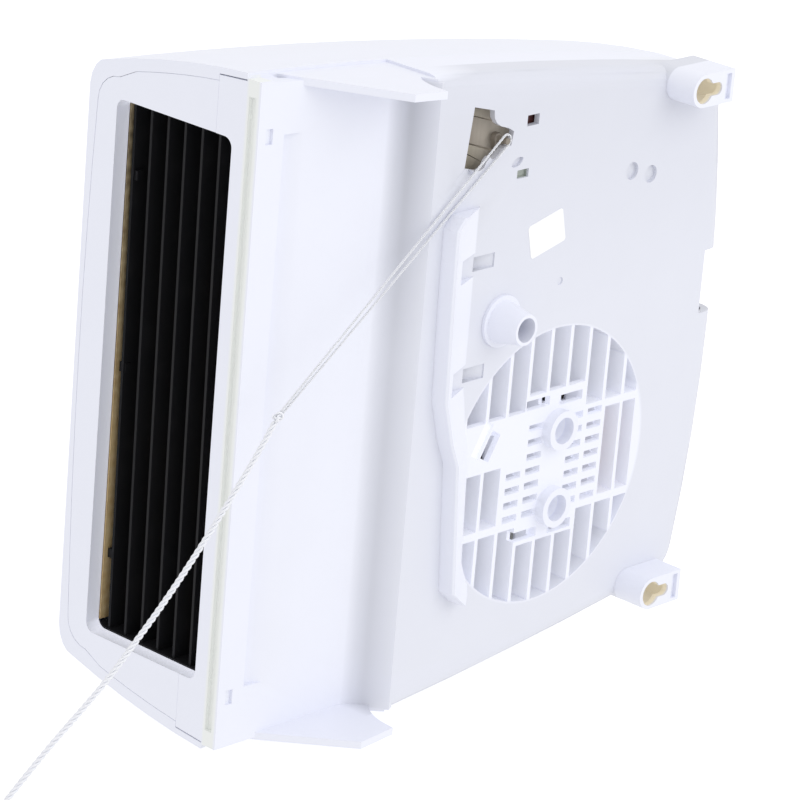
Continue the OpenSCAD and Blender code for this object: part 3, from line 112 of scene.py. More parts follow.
class Tree:
    # adds nodes to a material's, the world's or a shape's node tree and links them

    def __init__(self, nodeTree):
        self.nodeTree = nodeTree

    def node(self, kind, settings=None, inputs=None):
        node = self.nodeTree.nodes.new(kind)
        for name, value in (settings or {}).items():
            if name == "stops":
                self.setStops(node.color_ramp, value)
            else:
                setattr(node, name, value)
        for name, value in (inputs or {}).items():
            self.feed(node.inputs[name], value)
        return node

    def add(self, kind, settings=None, inputs=None, output=0):
        return Signal(self, self.node(kind, settings, inputs).outputs[output])

    def signal(self, value):
        # a plain number as an output, for sums that start with one
        return self.add("ShaderNodeMath", {"operation": "ADD"}, {0: value, 1: 0.0})

    def feed(self, socket, value):
        # links a signal, or several into a join, and sets anything else as the socket's own value
        if isinstance(value, (list, tuple)) and value and isinstance(value[0], Signal):
            for part in value:
                self.nodeTree.links.new(part.socket, socket)
        elif isinstance(value, Signal):
            self.nodeTree.links.new(value.socket, socket)
        else:
            socket.default_value = value

    def setStops(self, ramp, stops):
        while len(ramp.elements) < len(stops):
            ramp.elements.new(0.5)
        for element, (place, colour) in zip(ramp.elements, stops):
            element.position = place
            element.color = colour if len(colour) == 4 else (*colour, 1.0)

    def band(self, value, low, high, soft):
        # 1 between low and high, falling to 0 over a soft edge
        return self.ramp(value, low - soft, low + soft) * self.below(value, high, soft)

    def below(self, value, high, soft):
        # 1 up to high, falling to 0 over a soft edge
        return 1 - self.ramp(value, high - soft, high + soft)

    def within(self, axes, spans):
        # 1 where each axis named is between its low and high; the third number is the soft edge
        masks = [self.band(axes[axis], *span) for axis, span in spans.items()]
        inside = masks[0]
        for mask in masks[1:]:
            inside = inside * mask
        return inside

    def ramp(self, value, low, high):
        # rises from 0 at low to 1 at high
        return self.add("ShaderNodeMapRange", {"clamp": True},
                        {"Value": value, "From Min": low, "From Max": high})

    def mixColour(self, share, first, second):
        return self.add("ShaderNodeMix", {"data_type": "RGBA"},
                        {0: share, 6: first, 7: second}, output=2)


class Finish(Tree):
    # a material around the Principled shader that it starts with

    def __init__(self, name):
        self.material = bpy.data.materials.new(name)
        self.material.use_nodes = True
        super().__init__(self.material.node_tree)
        self.shader = self.nodeTree.nodes["Principled BSDF"]
        self.place = self.add("ShaderNodeTexCoord", output="Object")

    def xyz(self):
        parts = self.node("ShaderNodeSeparateXYZ", None, {0: self.place})
        return [Signal(self, parts.outputs[name]) for name in ("X", "Y", "Z")]

    def noise(self, scale, detail, stretch=None):
        where = self.place
        if stretch:
            where = self.add("ShaderNodeMapping", None, {"Vector": self.place, "Scale": stretch})
        return self.add("ShaderNodeTexNoise", None,
                        {"Vector": where, "Scale": scale, "Detail": detail}, "Fac")

    def cells(self, scale):
        return self.add("ShaderNodeTexVoronoi", None, {"Vector": self.place, "Scale": scale})

    def bump(self, height, strength, distance):
        normal = self.add("ShaderNodeBump", None,
                          {"Strength": strength, "Distance": distance, "Height": height})
        self.feed(self.shader.inputs["Normal"], normal)

    def set(self, **values):
        # baseColor feeds the socket "Base Color", and so on
        for name, value in values.items():
            spaced = "".join(" " + letter if letter.isupper() else letter for letter in name).strip()
            self.feed(self.shader.inputs[spaced[0].upper() + spaced[1:]], value)
        return self.material


def rgb(red, green, blue):
    # a colour written as it shows on the screen, from 0 to 255
    levels = [v / 255 for v in (red, green, blue)]
    return (*[((v + 0.055) / 1.055) ** 2.4 if v > 0.04045 else v / 12.92 for v in levels], 1.0)


black = (0.0, 0.0, 0.0, 1.0)
white = (1.0, 1.0, 1.0, 1.0)

# in every look a noise is its scale and detail, and a bump its strength and distance
casingLook = {
    "white": rgb(238, 240, 251),
    # painted shade colour for the panel's recesses and the channel
    "cream": rgb(228, 230, 226),
    # painted shade colour inside the keyholes
    "tan": rgb(226, 218, 198),
    "greenGrey": rgb(186, 193, 184),
    "shadow": rgb(40, 46, 60),
    # share of that painted shade in the recesses
    "recessShadeShare": 0.12,
    "hollowShade": 0.27,  # the shadow's share in the hollow below the panel's edge
    "hollowSwitchSide": 0.16,  # and how much it grows towards the switch
    "hollowFade": 0.6,
    "slotShade": 0.92,
    # painted light: glow shares for the keyhole bosses, grille, channel and outlet's edge
    "bossGlow": 0.24,
    "grilleGlow": 0.22,
    "channelGlow": 0.10,
    "lipGlow": 0.08,
    "lipFootGlow": 0.26,
    "lipLeftGlow": 0.13,
    "grain": (900.0, 3.0),
    "grainShare": 0.25,
    "sink": (22.0, 2.0),
    "mottle": (60.0, 4.0),
    "mottleSpan": (0.985, 1.01),
    "bump": (0.25, 0.00002),
    "roughness": 0.34,
    "rougher": 0.1,
}
# low, high and soft edge of each part of the casing with a look of its own; "aside" is x on either side
casingPlaces = {
    "recesses": {"y": (-0.034, -0.0146, 0.0012), "z": (-0.140, 0.040, 0.002),
                 "aside": (-0.01, 0.113, 0.001)},
    "channel": {"y": (-0.0425, -0.0365, 0.0006), "z": (-0.2125, -0.2060, 0.0006)},
    "keyDepth": {"y": (-0.0165, -0.0008, 0.0004)},
    "keySlot": {"fromKey": (-0.01, 0.0057, 0.0001), "z": (0.0, 0.0126, 0.0002)},
    "blindWindow": {"x": (0.0817, 0.0853, 0.0001), "y": (-0.0180, -0.0151, 0.0002),
                    "z": (-0.0918, -0.0851, 0.0001)},
    "hollow": {"y": (-0.0292, -0.0137, 0.0003), "aside": (-0.01, 0.127, 0.001)},
    "rightSlotEnd": {"x": (0.0510, 0.0545, 0.0002), "z": (-0.1127, -0.1102, 0.0003)},
    "middleSlotEnd": {"x": (0.0060, 0.0095, 0.0002), "z": (-0.1130, -0.1109, 0.0003)},
    "slotDepth": {"y": (-0.0300, -0.0141, 0.0001)},
    "grilleDepth": {"y": (-0.0230, -0.0139, 0.0004)},
    "lip": {"z": (-0.2117, -0.2052, 0.0001), "y": (-0.1100, -0.0472, 0.0002),
            "aside": (-0.01, 0.1088, 0.0001)},
}
# the start and end of each gradual change
casingRamps = {
    "hollowStart": (-0.1520, -0.1458),
    "hollowEnd": (-0.1450, -0.1390),
    "hollowSide": (0.020, 0.110),
    "lipFoot": (-0.2118, -0.2060),
    "lipLeft": (-0.1077, -0.1045),
}
keyMouth = {"aside": 0.1065, "radius": 0.0058, "soft": 0.000001}
grilleCircle = {"x": -0.0417, "z": -0.0582, "radius": 0.0575, "soft": 0.0001}


def insideCircle(finish, across, up, circle):
    # the soft edge is measured on the squared distance
    return finish.below(across * across + up * up, circle["radius"] ** 2, circle["soft"])


def makeCasing(name, look, places, ramps):
    finish = Finish(name)
    x, y, z = finish.xyz()
    aside = abs(x)
    fromKey = aside - keyMouth["aside"]
    axes = {"x": x, "y": y, "z": z, "aside": aside, "fromKey": abs(fromKey)}
    # mould texture too fine to see, and a faint waviness where the plastic shrank over ribs
    grain = finish.noise(*look["grain"])
    sink = finish.noise(*look["sink"])
    mottle = finish.noise(*look["mottle"])
    # painted shade: the recesses and the channel are given a creamier colour that stands for the dim
    # warm light in them
    channel = finish.within(axes, places["channel"])
    paintedRecessShade = finish.within(axes, places["recesses"]) * look["recessShadeShare"]
    cream = finish.mixColour(paintedRecessShade.math("MAXIMUM", channel), look["white"], look["cream"])
    # painted shade: the keyholes' insides get a tan colour for the dim warm light in them, and the
    # blind window's floor is grey
    mouth = insideCircle(finish, fromKey, z, keyMouth)
    keyRoom = (mouth.math("MAXIMUM", finish.within(axes, places["keySlot"]))
               * finish.within(axes, places["keyDepth"]))
    blind = finish.within(axes, places["blindWindow"])
    base = finish.mixColour(blind, finish.mixColour(keyRoom, cream, look["tan"]), look["greenGrey"])
    # shadow gathers in the hollow below the panel's edge, most towards the switch's side
    into = (finish.ramp(z, *ramps["hollowStart"])
            * (1 - finish.ramp(z, *ramps["hollowEnd"]) * look["hollowFade"]))
    hollow = (into * finish.within(axes, places["hollow"])
              * (finish.ramp(x, *ramps["hollowSide"]) * look["hollowSwitchSide"] + look["hollowShade"]))
    base = finish.mixColour(hollow, base, look["shadow"])
    # painted shadow: each slot in the panel is darkened round the small opening at its lower end
    rightEnd = finish.within(axes, places["rightSlotEnd"])
    middleEnd = finish.within(axes, places["middleSlotEnd"])
    slotEnds = (rightEnd + middleEnd) * finish.within(axes, places["slotDepth"])
    base = finish.mixColour(slotEnds * look["slotShade"], base, look["shadow"])
    darkest, lightest = look["mottleSpan"]
    shade = finish.add("ShaderNodeMapRange", None,
                       {"Value": mottle, "To Min": darkest, "To Max": lightest})
    grey = finish.add("ShaderNodeCombineColor", None, {0: shade, 1: shade, 2: shade})
    tinted = finish.add("ShaderNodeMix", {"data_type": "RGBA", "blend_type": "MULTIPLY"},
                        {0: 1.0, 6: base, 7: grey}, output=2)
    # painted light: a faint glow brightens the grille, keyhole bosses, channel and outlet's edge
    grille = (finish.within(axes, places["grilleDepth"])
              * insideCircle(finish, x - grilleCircle["x"], z - grilleCircle["z"], grilleCircle))
    foot = finish.ramp(z, *ramps["lipFoot"]) * look["lipFootGlow"]
    left = (1 - finish.ramp(x, *ramps["lipLeft"])) * look["lipLeftGlow"]
    lip = finish.within(axes, places["lip"]) * (foot + left + look["lipGlow"])
    paintedGlowShare = lip + channel * look["channelGlow"] + grille * look["grilleGlow"]
    keyholePaintedGlow = finish.mixColour(keyRoom * look["bossGlow"], black, look["tan"])
    finish.set(emissionColor=finish.mixColour(paintedGlowShare, keyholePaintedGlow, look["white"]), emissionStrength=1.0)
    finish.bump(grain * look["grainShare"] + sink, *look["bump"])
    return finish.set(baseColor=tinted, roughness=look["roughness"] + mottle * look["rougher"])


louvreLook = {"black": rgb(22, 22, 25), "dusty": rgb(34, 34, 36), "roughness": 0.5, "rougher": 0.2,
              "shine": 0.22, "dust": (90.0, 5.0), "dustSpan": (0.55, 0.8), "dustShare": 0.5,
              "grain": (1400.0, 3.0), "bump": (0.3, 0.00004)}


def makeLouvreBlack(name, look):
    finish = Finish(name)
    dust = finish.noise(*look["dust"])
    # a little dust lies in patches on the slats
    patch = finish.ramp(dust, *look["dustSpan"]) * look["dustShare"]
    finish.bump(finish.noise(*look["grain"]), *look["bump"])
    finish.feed(finish.shader.inputs["Specular IOR Level"], look["shine"])
    return finish.set(baseColor=finish.mixColour(patch, look["black"], look["dusty"]),
                      roughness=look["roughness"] + dust * look["rougher"])


mouldingLook = {"mottle": (45.0, 4.0), "mottleShare": 0.6, "flow": (14.0, 3.0), "flowShare": 0.3,
                "stretch": (1.0, 4.0, 1.0), "grain": (700.0, 3.0), "bump": (0.3, 0.00003),
                "rougher": 0.12}


def makeMoulding(name, colour, darker, roughness, look=mouldingLook):
    finish = Finish(name)
    mottle = finish.noise(*look["mottle"])
    flow = finish.noise(*look["flow"], stretch=look["stretch"])
    streaks = mottle * look["mottleShare"] + flow * look["flowShare"]
    finish.bump(finish.noise(*look["grain"]), *look["bump"])
    return finish.set(baseColor=finish.mixColour(streaks, colour, darker),
                      roughness=roughness + mottle * look["rougher"])


paperLook = {"light": rgb(254, 254, 254), "dull": rgb(249, 250, 251), "roughness": 0.55, "rougher": 0.1,
             "coat": 0.15, "fibre": (1800.0, 4.0), "stretch": (1.0, 1.0, 3.0), "bump": (0.3, 0.00003)}


def makePaper(name, look):
    finish = Finish(name)
    fibre = finish.noise(*look["fibre"], stretch=look["stretch"])
    finish.bump(fibre, *look["bump"])
    return finish.set(baseColor=finish.mixColour(fibre, look["light"], look["dull"]),
                      roughness=look["roughness"] + fibre * look["rougher"], coatWeight=look["coat"])


steelLook = {"bright": rgb(186, 188, 190), "dull": rgb(150, 150, 150), "spangle": 420.0,
             "scratch": (260.0, 4.0), "stretch": (1.0, 14.0, 1.0), "bump": (0.25, 0.00003),
             "roughness": 0.3, "rougher": 0.15}


def makeSteel(name, look):
    finish = Finish(name)
    spangle = finish.cells(look["spangle"])
    scratch = finish.noise(*look["scratch"], stretch=look["stretch"])
    finish.bump(scratch, *look["bump"])
    return finish.set(baseColor=finish.mixColour(spangle, look["bright"], look["dull"]),
                      metallic=1.0, roughness=look["roughness"] + scratch * look["rougher"])


laminationLook = {"steel": rgb(112, 112, 114), "stained": rgb(92, 84, 78), "gap": rgb(30, 28, 27),
                  "sheet": 0.0005, "solid": (0.12, 0.88, 0.06), "stain": (120.0, 4.0),
                  "bump": (0.6, 0.00008), "gapDull": 0.7, "roughness": 0.45, "rougher": 0.2}


def makeLaminations(name, look):
    finish = Finish(name)
    # sheets stacked along the motor's axis, with dark gaps between them
    sheet = (finish.xyz()[1] / look["sheet"]).math("FRACT")
    gap = 1 - finish.band(sheet, *look["solid"])
    stain = finish.noise(*look["stain"])
    finish.bump(1 - gap, *look["bump"])
    metal = finish.mixColour(stain, look["steel"], look["stained"])
    return finish.set(baseColor=finish.mixColour(gap, metal, look["gap"]),
                      metallic=1 - gap * look["gapDull"],
                      roughness=look["roughness"] + stain * look["rougher"])


windingLook = {"copper": rgb(176, 96, 42), "dark": rgb(120, 58, 24), "pitch": 0.00045,
               "stray": (500.0, 2.0), "stretch": (1.0, 0.2, 0.2), "strayShare": 0.4,
               "bump": (0.9, 0.00015), "metal": 0.85, "coat": 0.3, "roughness": 0.28, "rougher": 0.15}


def makeWinding(name, look):
    finish = Finish(name)
    # turns of lacquered wire side by side
    turn = ((finish.xyz()[0] / look["pitch"]).math("FRACT") - 0.5) * 2
    crown = (1 - turn * turn).math("SQRT")
    stray = finish.noise(*look["stray"], stretch=look["stretch"])
    finish.bump(crown + stray * look["strayShare"], *look["bump"])
    return finish.set(baseColor=finish.mixColour(stray, look["copper"], look["dark"]),
                      metallic=look["metal"], coatWeight=look["coat"],
                      roughness=look["roughness"] + stray * look["rougher"])


micaLook = {"tan": rgb(196, 170, 122), "vein": rgb(158, 128, 84), "flake": rgb(214, 198, 160),
            "browned": rgb(66, 58, 46), "darkerEndShare": 0.85, "darkerEndSpan": (-0.030, 0.080),
            "flakes": 260.0, "flakeShare": 0.5, "fleck": (700.0, 4.0), "fleckShare": 0.5,
            "veins": (40.0, 5.0), "stretch": (1.0, 1.0, 2.5), "bump": (0.35, 0.00006),
            "roughness": 0.4, "rougher": 0.25}


def makeMica(name, look):
    finish = Finish(name)
    flake = finish.cells(look["flakes"])
    fleck = finish.noise(*look["fleck"])
    vein = finish.noise(*look["veins"], stretch=look["stretch"])
    finish.bump(flake + fleck * look["fleckShare"], *look["bump"])
    # the boards grow darker towards their right ends
    browned = finish.ramp(finish.xyz()[0], *look["darkerEndSpan"]) * look["darkerEndShare"]
    board = finish.mixColour(vein, look["tan"], look["vein"])
    colour = finish.mixColour(browned, board, look["browned"])
    return finish.set(baseColor=finish.mixColour(flake * look["flakeShare"], colour, look["flake"]),
                      roughness=look["roughness"] + fleck * look["rougher"])


# heat has tinted the wire from grey through straw to blue
hotWireLook = {"tints": [(0.3, rgb(96, 92, 90)), (0.5, rgb(120, 104, 96)), (0.7, rgb(88, 90, 104))],
               "heat": (30.0, 3.0), "grain": (900.0, 3.0), "bump": (0.3, 0.00003), "metal": 0.9,
               "roughness": 0.38, "rougher": 0.2}


def makeResistanceWire(name, look):
    finish = Finish(name)
    heat = finish.noise(*look["heat"])
    colour = finish.add("ShaderNodeValToRGB", {"stops": look["tints"]}, {"Fac": heat})
    finish.bump(finish.noise(*look["grain"]), *look["bump"])
    return finish.set(baseColor=colour, metallic=look["metal"],
                      roughness=look["roughness"] + heat * look["rougher"])


switchLook = {"body": rgb(172, 163, 153), "light": rgb(196, 189, 172), "dark": rgb(122, 114, 100),
              # painted light: colour and glow for the part under the window's narrow end
              "tucked": rgb(228, 220, 208), "tuckedGlow": 0.1, "tuckedSpan": (-0.1120, -0.0990),
              "jointSlope": 0.31, "jointHeight": -0.116, "bandShare": 0.75,
              "bands": [(0.1094, 0.1300, 0.0003), (0.0700, 0.0981, 0.0005)],
              "streak": (420.0, 3.0), "stretch": (0.12, 1.0, 1.0), "streakShare": 0.5,
              "blotch": (160.0, 4.0), "blotchShare": 0.25, "grain": (800.0, 3.0),
              "bump": (0.3, 0.00004), "roughness": 0.48, "rougher": 0.15}


def makeSwitchCase(name, look):
    finish = Finish(name)
    x, y, z = finish.xyz()
    # paler bands beyond the face's slanting joints, flow streaks along it, and a little grime
    slant = x + (z - look["jointHeight"]) * look["jointSlope"]
    upperBand, lowerBand = [finish.band(slant, *band) for band in look["bands"]]
    ends = (upperBand + lowerBand) * look["bandShare"]
    streak = finish.noise(*look["streak"], stretch=look["stretch"])
    blotch = finish.noise(*look["blotch"])
    # painted light: little light gets under the window's narrow end, yet that part is painted paler and
    # given a faint glow
    tucked = finish.ramp(z, *look["tuckedSpan"])
    glow = finish.mixColour(tucked * look["tuckedGlow"], black, look["tucked"])
    body = finish.mixColour(tucked, finish.mixColour(ends, look["body"], look["light"]), look["tucked"])
    worn = finish.mixColour(streak * look["streakShare"], body, look["dark"])
    finish.bump(finish.noise(*look["grain"]) + streak, *look["bump"])
    return finish.set(baseColor=finish.mixColour(blotch * look["blotchShare"], worn, look["dark"]),
                      roughness=look["roughness"] + blotch * look["rougher"],
                      emissionColor=glow, emissionStrength=1.0)


cordLook = {"fibre": rgb(252, 252, 255), "shade": rgb(232, 235, 243), "stretch": (9.0, 1.4, 1.0),
            "filaments": (3.0, 3.0), "bump": (0.5, 0.00008), "roughness": 0.5, "rougher": 0.2,
            "sheen": 0.15}


def makeCordFibre(name, look):
    finish = Finish(name)
    # filaments run along each ply; U goes round it and V along it, in millimetres
    ply = finish.add("ShaderNodeUVMap")
    strands = finish.add("ShaderNodeMapping", None, {"Vector": ply, "Scale": look["stretch"]})
    scale, detail = look["filaments"]
    filament = finish.add("ShaderNodeTexNoise", None,
                          {"Vector": strands, "Scale": scale, "Detail": detail}, "Fac")
    finish.bump(filament, *look["bump"])
    return finish.set(baseColor=finish.mixColour(filament, look["shade"], look["fibre"]),
                      roughness=look["roughness"] + filament * look["rougher"],
                      sheenWeight=look["sheen"])


brassLook = {"bright": rgb(214, 180, 98), "tarnished": rgb(160, 122, 58), "tarnish": (320.0, 4.0),
             "bump": (0.2, 0.00003), "roughness": 0.26, "rougher": 0.2}


def makeBrass(name, look):
    finish = Finish(name)
    tarnish = finish.noise(*look["tarnish"])
    finish.bump(tarnish, *look["bump"])
    return finish.set(baseColor=finish.mixColour(tarnish, look["bright"], look["tarnished"]),
                      metallic=1.0, roughness=look["roughness"] + tarnish * look["rougher"])


finishes = {
    "casing": makeCasing("casingWhite", casingLook, casingPlaces, casingRamps),
    "louvre": makeLouvreBlack("louvreBlack", louvreLook),
    "label": makePaper("labelPaper", paperLook),
    "lamination": makeLaminations("motorSheets", laminationLook),
    "copper": makeWinding("motorWinding", windingLook),
    "steel": makeSteel("zincSteel", steelLook),
    "mica": makeMica("micaBoard", micaLook),
    "resistance_wire": makeResistanceWire("heatingWireMetal", hotWireLook),
    "phenolic": makeMoulding("phenolicBrown", rgb(92, 50, 50), rgb(62, 30, 32), 0.45),
    "fuse": makeMoulding("fuseCeramic", rgb(222, 214, 190), rgb(196, 186, 160), 0.5),
    "switch_case": makeSwitchCase("switchCase", switchLook),
    "lever": makeMoulding("leverPlastic", rgb(150, 141, 131), rgb(122, 114, 102), 0.42),
    "cord": makeCordFibre("cordFibre", cordLook),
    "knob": makeMoulding("knobPlastic", rgb(240, 242, 247), rgb(230, 232, 240), 0.2),
    "terminal": makeMoulding("terminalNylon", rgb(238, 238, 228), rgb(222, 222, 208), 0.4),
    "brass": makeBrass("terminalBrass", brassLook),
    "wire": makeMoulding("wireSilicone", rgb(214, 214, 218), rgb(196, 196, 202), 0.5),
    "fan_moulding": makeMoulding("fanMoulding", rgb(238, 238, 234), rgb(226, 226, 220), 0.4),
}
print("materials made:", len(finishes))


def dress(obj, finish):
    obj.data.materials.clear()
    obj.data.materials.append(finish)


slots = {part["node"]: part["material_slot"] for part in frame["record"]["subparts"]}
for nodeName, node in nodes.items():
    dress(node, finishes[slots[nodeName]])


def plainMesh(obj):
    # carries out the object's modifiers and keeps the result as its mesh
    view = bpy.context.evaluated_depsgraph_get()
    mesh = bpy.data.meshes.new_from_object(obj.evaluated_get(view))
    obj.modifiers.clear()
    obj.data = mesh
    return obj


def addPiece(name, mesh, finish=None):
    piece = bpy.data.objects.new(name, mesh)
    bpy.context.scene.collection.objects.link(piece)
    if finish:
        dress(piece, finish)
    return piece


def stand(piece, body, *replaced):
    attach(piece, body)
    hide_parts(*replaced)
    return piece


# places on the cord are millimetres across and above the heater's underside, as in the CAD
cordLine = {
    "height": 0.212,
    "depth": 0.013,
    "hook": (98.6, 111.2),
    "knot": (10.8, -2.5),
    "route": [(10.8, -2.5), (-5, -14.5), (-30, -36), (-48, -53),
              (-63, -69), (-76, -84), (-94, -109), (-114, -134)],
    "upperWidth": 0.0011,
    "upperPitch": 0.0052,
    "lowerWidth": 0.0024,
    "lowerPitch": 0.0078,
    "lowerPoints": 36,
    "lowerStart": 0.8,  # of the knot's size, where the thick cord comes out of it
    "knotSize": 0.0026,
    "knotWidth": 0.0017,
    "knotPitch": 0.0062,
    "knotMargin": 0.0009,  # from the knot's middle line to its outside
    "knotDepth": 1.3,
    "knotPoints": 72,
}
toWall = Vector((0, 1, 0))


def cordPoint(place):
    return Vector((place[0] / 1000, -cordLine["depth"], place[1] / 1000 - cordLine["height"]))


def smoothLine(points, steps):
    # a curve through all the points
    line = []
    last = len(points) - 1
    for i in range(last):
        a, b, c, e = points[max(i - 1, 0)], points[i], points[i + 1], points[min(i + 2, last)]
        for k in range(steps):
            t = k / steps
            bend, twist = 2 * a - 5 * b + 4 * c - e, 3 * b - 3 * c + e - a
            line.append(b + 0.5 * t * (c - a + t * (bend + t * twist)))
    return line + [points[last]]


def lineLength(points):
    return sum((b - a).length for a, b in zip(points, points[1:]))


def resampled(points, count):
    # points at equal distances along a line
    whole = lineLength(points)
    out = [points[0]]
    walked, want = 0.0, whole / count
    for a, b in zip(points, points[1:]):
        step = (b - a).length
        while walked + step >= want * len(out) - 1e-9 and len(out) < count:
            out.append(a.lerp(b, (want * len(out) - walked) / step))
        walked += step
    return out + [points[-1]]


plyShare = {2: 0.5, 3: 0.464}  # radius of two or three touching plies inside a cord of radius 1


def pliedCord(name, points, width, plies, pitch, steps, sides=8):
    # plies twisted round one another along a line, inside the cord's width
    line = resampled(points, steps)
    plyRadius = width / 2 * plyShare[plies]
    reach = width / 2 - plyRadius
    shape = bmesh.new()
    uvLayer = shape.loops.layers.uv.new("ply")
    centres = []
    for i, point in enumerate(line):
        along = (line[min(i + 1, steps)] - line[max(i - 1, 0)]).normalized()
        side = along.cross(toWall).normalized()
        other = along.cross(side)
        centres.append((point, side, other))
    walked = [0.0]
    for a, b in zip(line, line[1:]):
        walked.append(walked[-1] + (b - a).length)
    angles = [2 * math.pi * k / sides for k in range(sides)]
    for ply in range(plies):
        rings = []
        for (point, side, other), s in zip(centres, walked):
            turn = 2 * math.pi * (ply / plies + s / pitch)
            out = side * math.cos(turn) + other * math.sin(turn)
            across = other * math.cos(turn) - side * math.sin(turn)
            centre = point + out * reach
            rim = [centre + plyRadius * (out * math.cos(w) + across * math.sin(w)) for w in angles]
            rings.append([shape.verts.new(place) for place in rim])
        for i, (first, second) in enumerate(zip(rings, rings[1:])):
            for k in range(sides):
                n = (k + 1) % sides
                face = shape.faces.new((first[k], second[k], second[n], first[n]))
                face.smooth = True
                corners = ((k, i), (k, i + 1), (k + 1, i + 1), (k + 1, i))
                for loop, (around, row) in zip(face.loops, corners):
                    loop[uvLayer].uv = (around / sides, walked[row] * 1000)
        shape.faces.new(rings[0])
        shape.faces.new(reversed(rings[-1]))
    bmesh.ops.recalc_face_normals(shape, faces=shape.faces)
    mesh = bpy.data.meshes.new(name)
    shape.to_mesh(mesh)
    shape.free()
    return addPiece(name, mesh, finishes["cord"])


hookPoint, knotPoint = cordPoint(cordLine["hook"]), cordPoint(cordLine["knot"])
pull = (knotPoint - hookPoint).normalized()
across = Vector((-pull.z, 0, pull.x))

# the thin cord is a long loop: from the knot, over the switch's hook and back to the knot
loopLook = {"hookRadius": 0.0013, "clearance": 0.0003, "leverRadius": 0.013, "travel": 0.007,
            "legGap": 0.0001, "knotOverlap": 0.0003, "legPoints": 12, "turnStep": 15}
# the hook swings on an arc and the cord slides on a line, so the loop sits halfway between the two
halfTurn = loopLook["travel"] / loopLook["leverRadius"] / 2
shift = loopLook["leverRadius"] * (1 - math.cos(halfTurn)) / 2
loopRadius = loopLook["hookRadius"] + loopLook["clearance"] + shift + cordLine["upperWidth"] / 2
loopCentre = hookPoint + across * shift
legEnd = knotPoint - pull * (cordLine["knotSize"] - loopLook["knotOverlap"])
legOut = across * (cordLine["upperWidth"] / 2 + loopLook["legGap"])


def loopLeg(side, steps):
    # points up one leg of the loop, from the knot to where it meets the turn over the hook
    foot, top = legEnd + legOut * side, loopCentre + across * side * loopRadius
    return [foot.lerp(top, k / steps) for k in range(steps)]


turnAngles = [math.radians(degrees) for degrees in range(0, 181, loopLook["turnStep"])]
loopTurn = [loopCentre + loopRadius * (across * math.cos(w) - pull * math.sin(w)) for w in turnAngles]
upperLine = loopLeg(1, loopLook["legPoints"]) + loopTurn + loopLeg(-1, loopLook["legPoints"])[::-1]
upperCord = pliedCord("upperCord", upperLine, cordLine["upperWidth"], 3, cordLine["upperPitch"],
                      steps=420, sides=6)
stand(upperCord, "pull_cord", "upper_cord")

# the thick cord comes out of the knot
routePoints = [cordPoint(place) for place in cordLine["route"]]
firstWay = (routePoints[1] - routePoints[0]).normalized()
routePoints[0] = knotPoint + firstWay * cordLine["knotSize"] * cordLine["lowerStart"]
lowerLine = resampled(smoothLine(routePoints, 6), cordLine["lowerPoints"])
lowerCord = pliedCord("lowerCord", lowerLine, cordLine["lowerWidth"], 3, cordLine["lowerPitch"],
                      steps=380)
stand(lowerCord, "pull_cord", "lower_cord")

# an overhand knot joins the two; its line reaches 3 from its middle before it is scaled
knotScale = (cordLine["knotSize"] - cordLine["knotMargin"]) / 3
knotLine = []
for k in range(cordLine["knotPoints"] + 1):
    w = 2 * math.pi * k / cordLine["knotPoints"]
    place = (pull * (math.sin(w) + 2 * math.sin(2 * w)) + toWall * (math.cos(w) - 2 * math.cos(2 * w))
             - across * math.sin(3 * w) * cordLine["knotDepth"])
    knotLine.append(knotPoint + knotScale * place)
knot = pliedCord("cordKnot", knotLine, cordLine["knotWidth"], 2, cordLine["knotPitch"], steps=240)
stand(knot, "pull_cord", "cord_knot")

lineLength(upperLine)
lineLength(lowerLine)
print("cords laid: %.3f m and %.3f m" % (lineLength(upperLine), lineLength(lowerLine)))

# moulded pieces get the small roundings that catch the light: each one's name and the rounding's width
mouldedEdges = {
    "rear_chassis": ("chassisShell", 0.00045),
    "outlet_bezel": ("bezelPlate", 0.0002),
    "outlet_louvre": ("louvreGrid", 0.00022),
    "front_cover": ("coverShell", 0.0003),
    "switch_body": ("switchCase", 0.0004),
    "switch_lever": ("switchArm", 0.0003),
    "terminal_block": ("terminalStrip", 0.0003),
    "cable_clamp": ("clampBar", 0.0004),
}
edgeLook = {
    "weld": 0.000005,
    "flat": 0.6,  # degrees, under which neighbouring faces become one
    "smooth": 32,
    "rounded": 38,
    "segments": 2,
}
bodyOf = {name: body for body, members in frame["record"]["behaviour"]["bodies"].items()
          for name in members}


def roundedCopy(nodeName, pieceName, width):
    shape = bmesh.new()
    shape.from_mesh(nodes[nodeName].data)
    bmesh.ops.remove_doubles(shape, verts=shape.verts, dist=edgeLook["weld"])
    bmesh.ops.dissolve_limit(shape, angle_limit=math.radians(edgeLook["flat"]),
                             verts=shape.verts, edges=shape.edges)
    mesh = bpy.data.meshes.new(pieceName)
    shape.to_mesh(mesh)
    shape.free()
    if "custom_normal" in mesh.attributes:
        mesh.attributes.remove(mesh.attributes["custom_normal"])
    mesh.shade_smooth()
    mesh.set_sharp_from_angle(angle=math.radians(edgeLook["smooth"]))
    piece = addPiece(pieceName, mesh, finishes[slots[nodeName]])
    edge = piece.modifiers.new("edge", "BEVEL")
    edge.width = width
    edge.segments = edgeLook["segments"]
    edge.limit_method = "ANGLE"
    edge.angle_limit = math.radians(edgeLook["rounded"])
    edge.harden_normals = True
    plainMesh(piece)
    return stand(piece, bodyOf[nodeName], nodeName)


for nodeName, (pieceName, width) in mouldedEdges.items():
    piece = roundedCopy(nodeName, pieceName, width)
    print("rounded:", pieceName, len(piece.data.polygons), "faces")


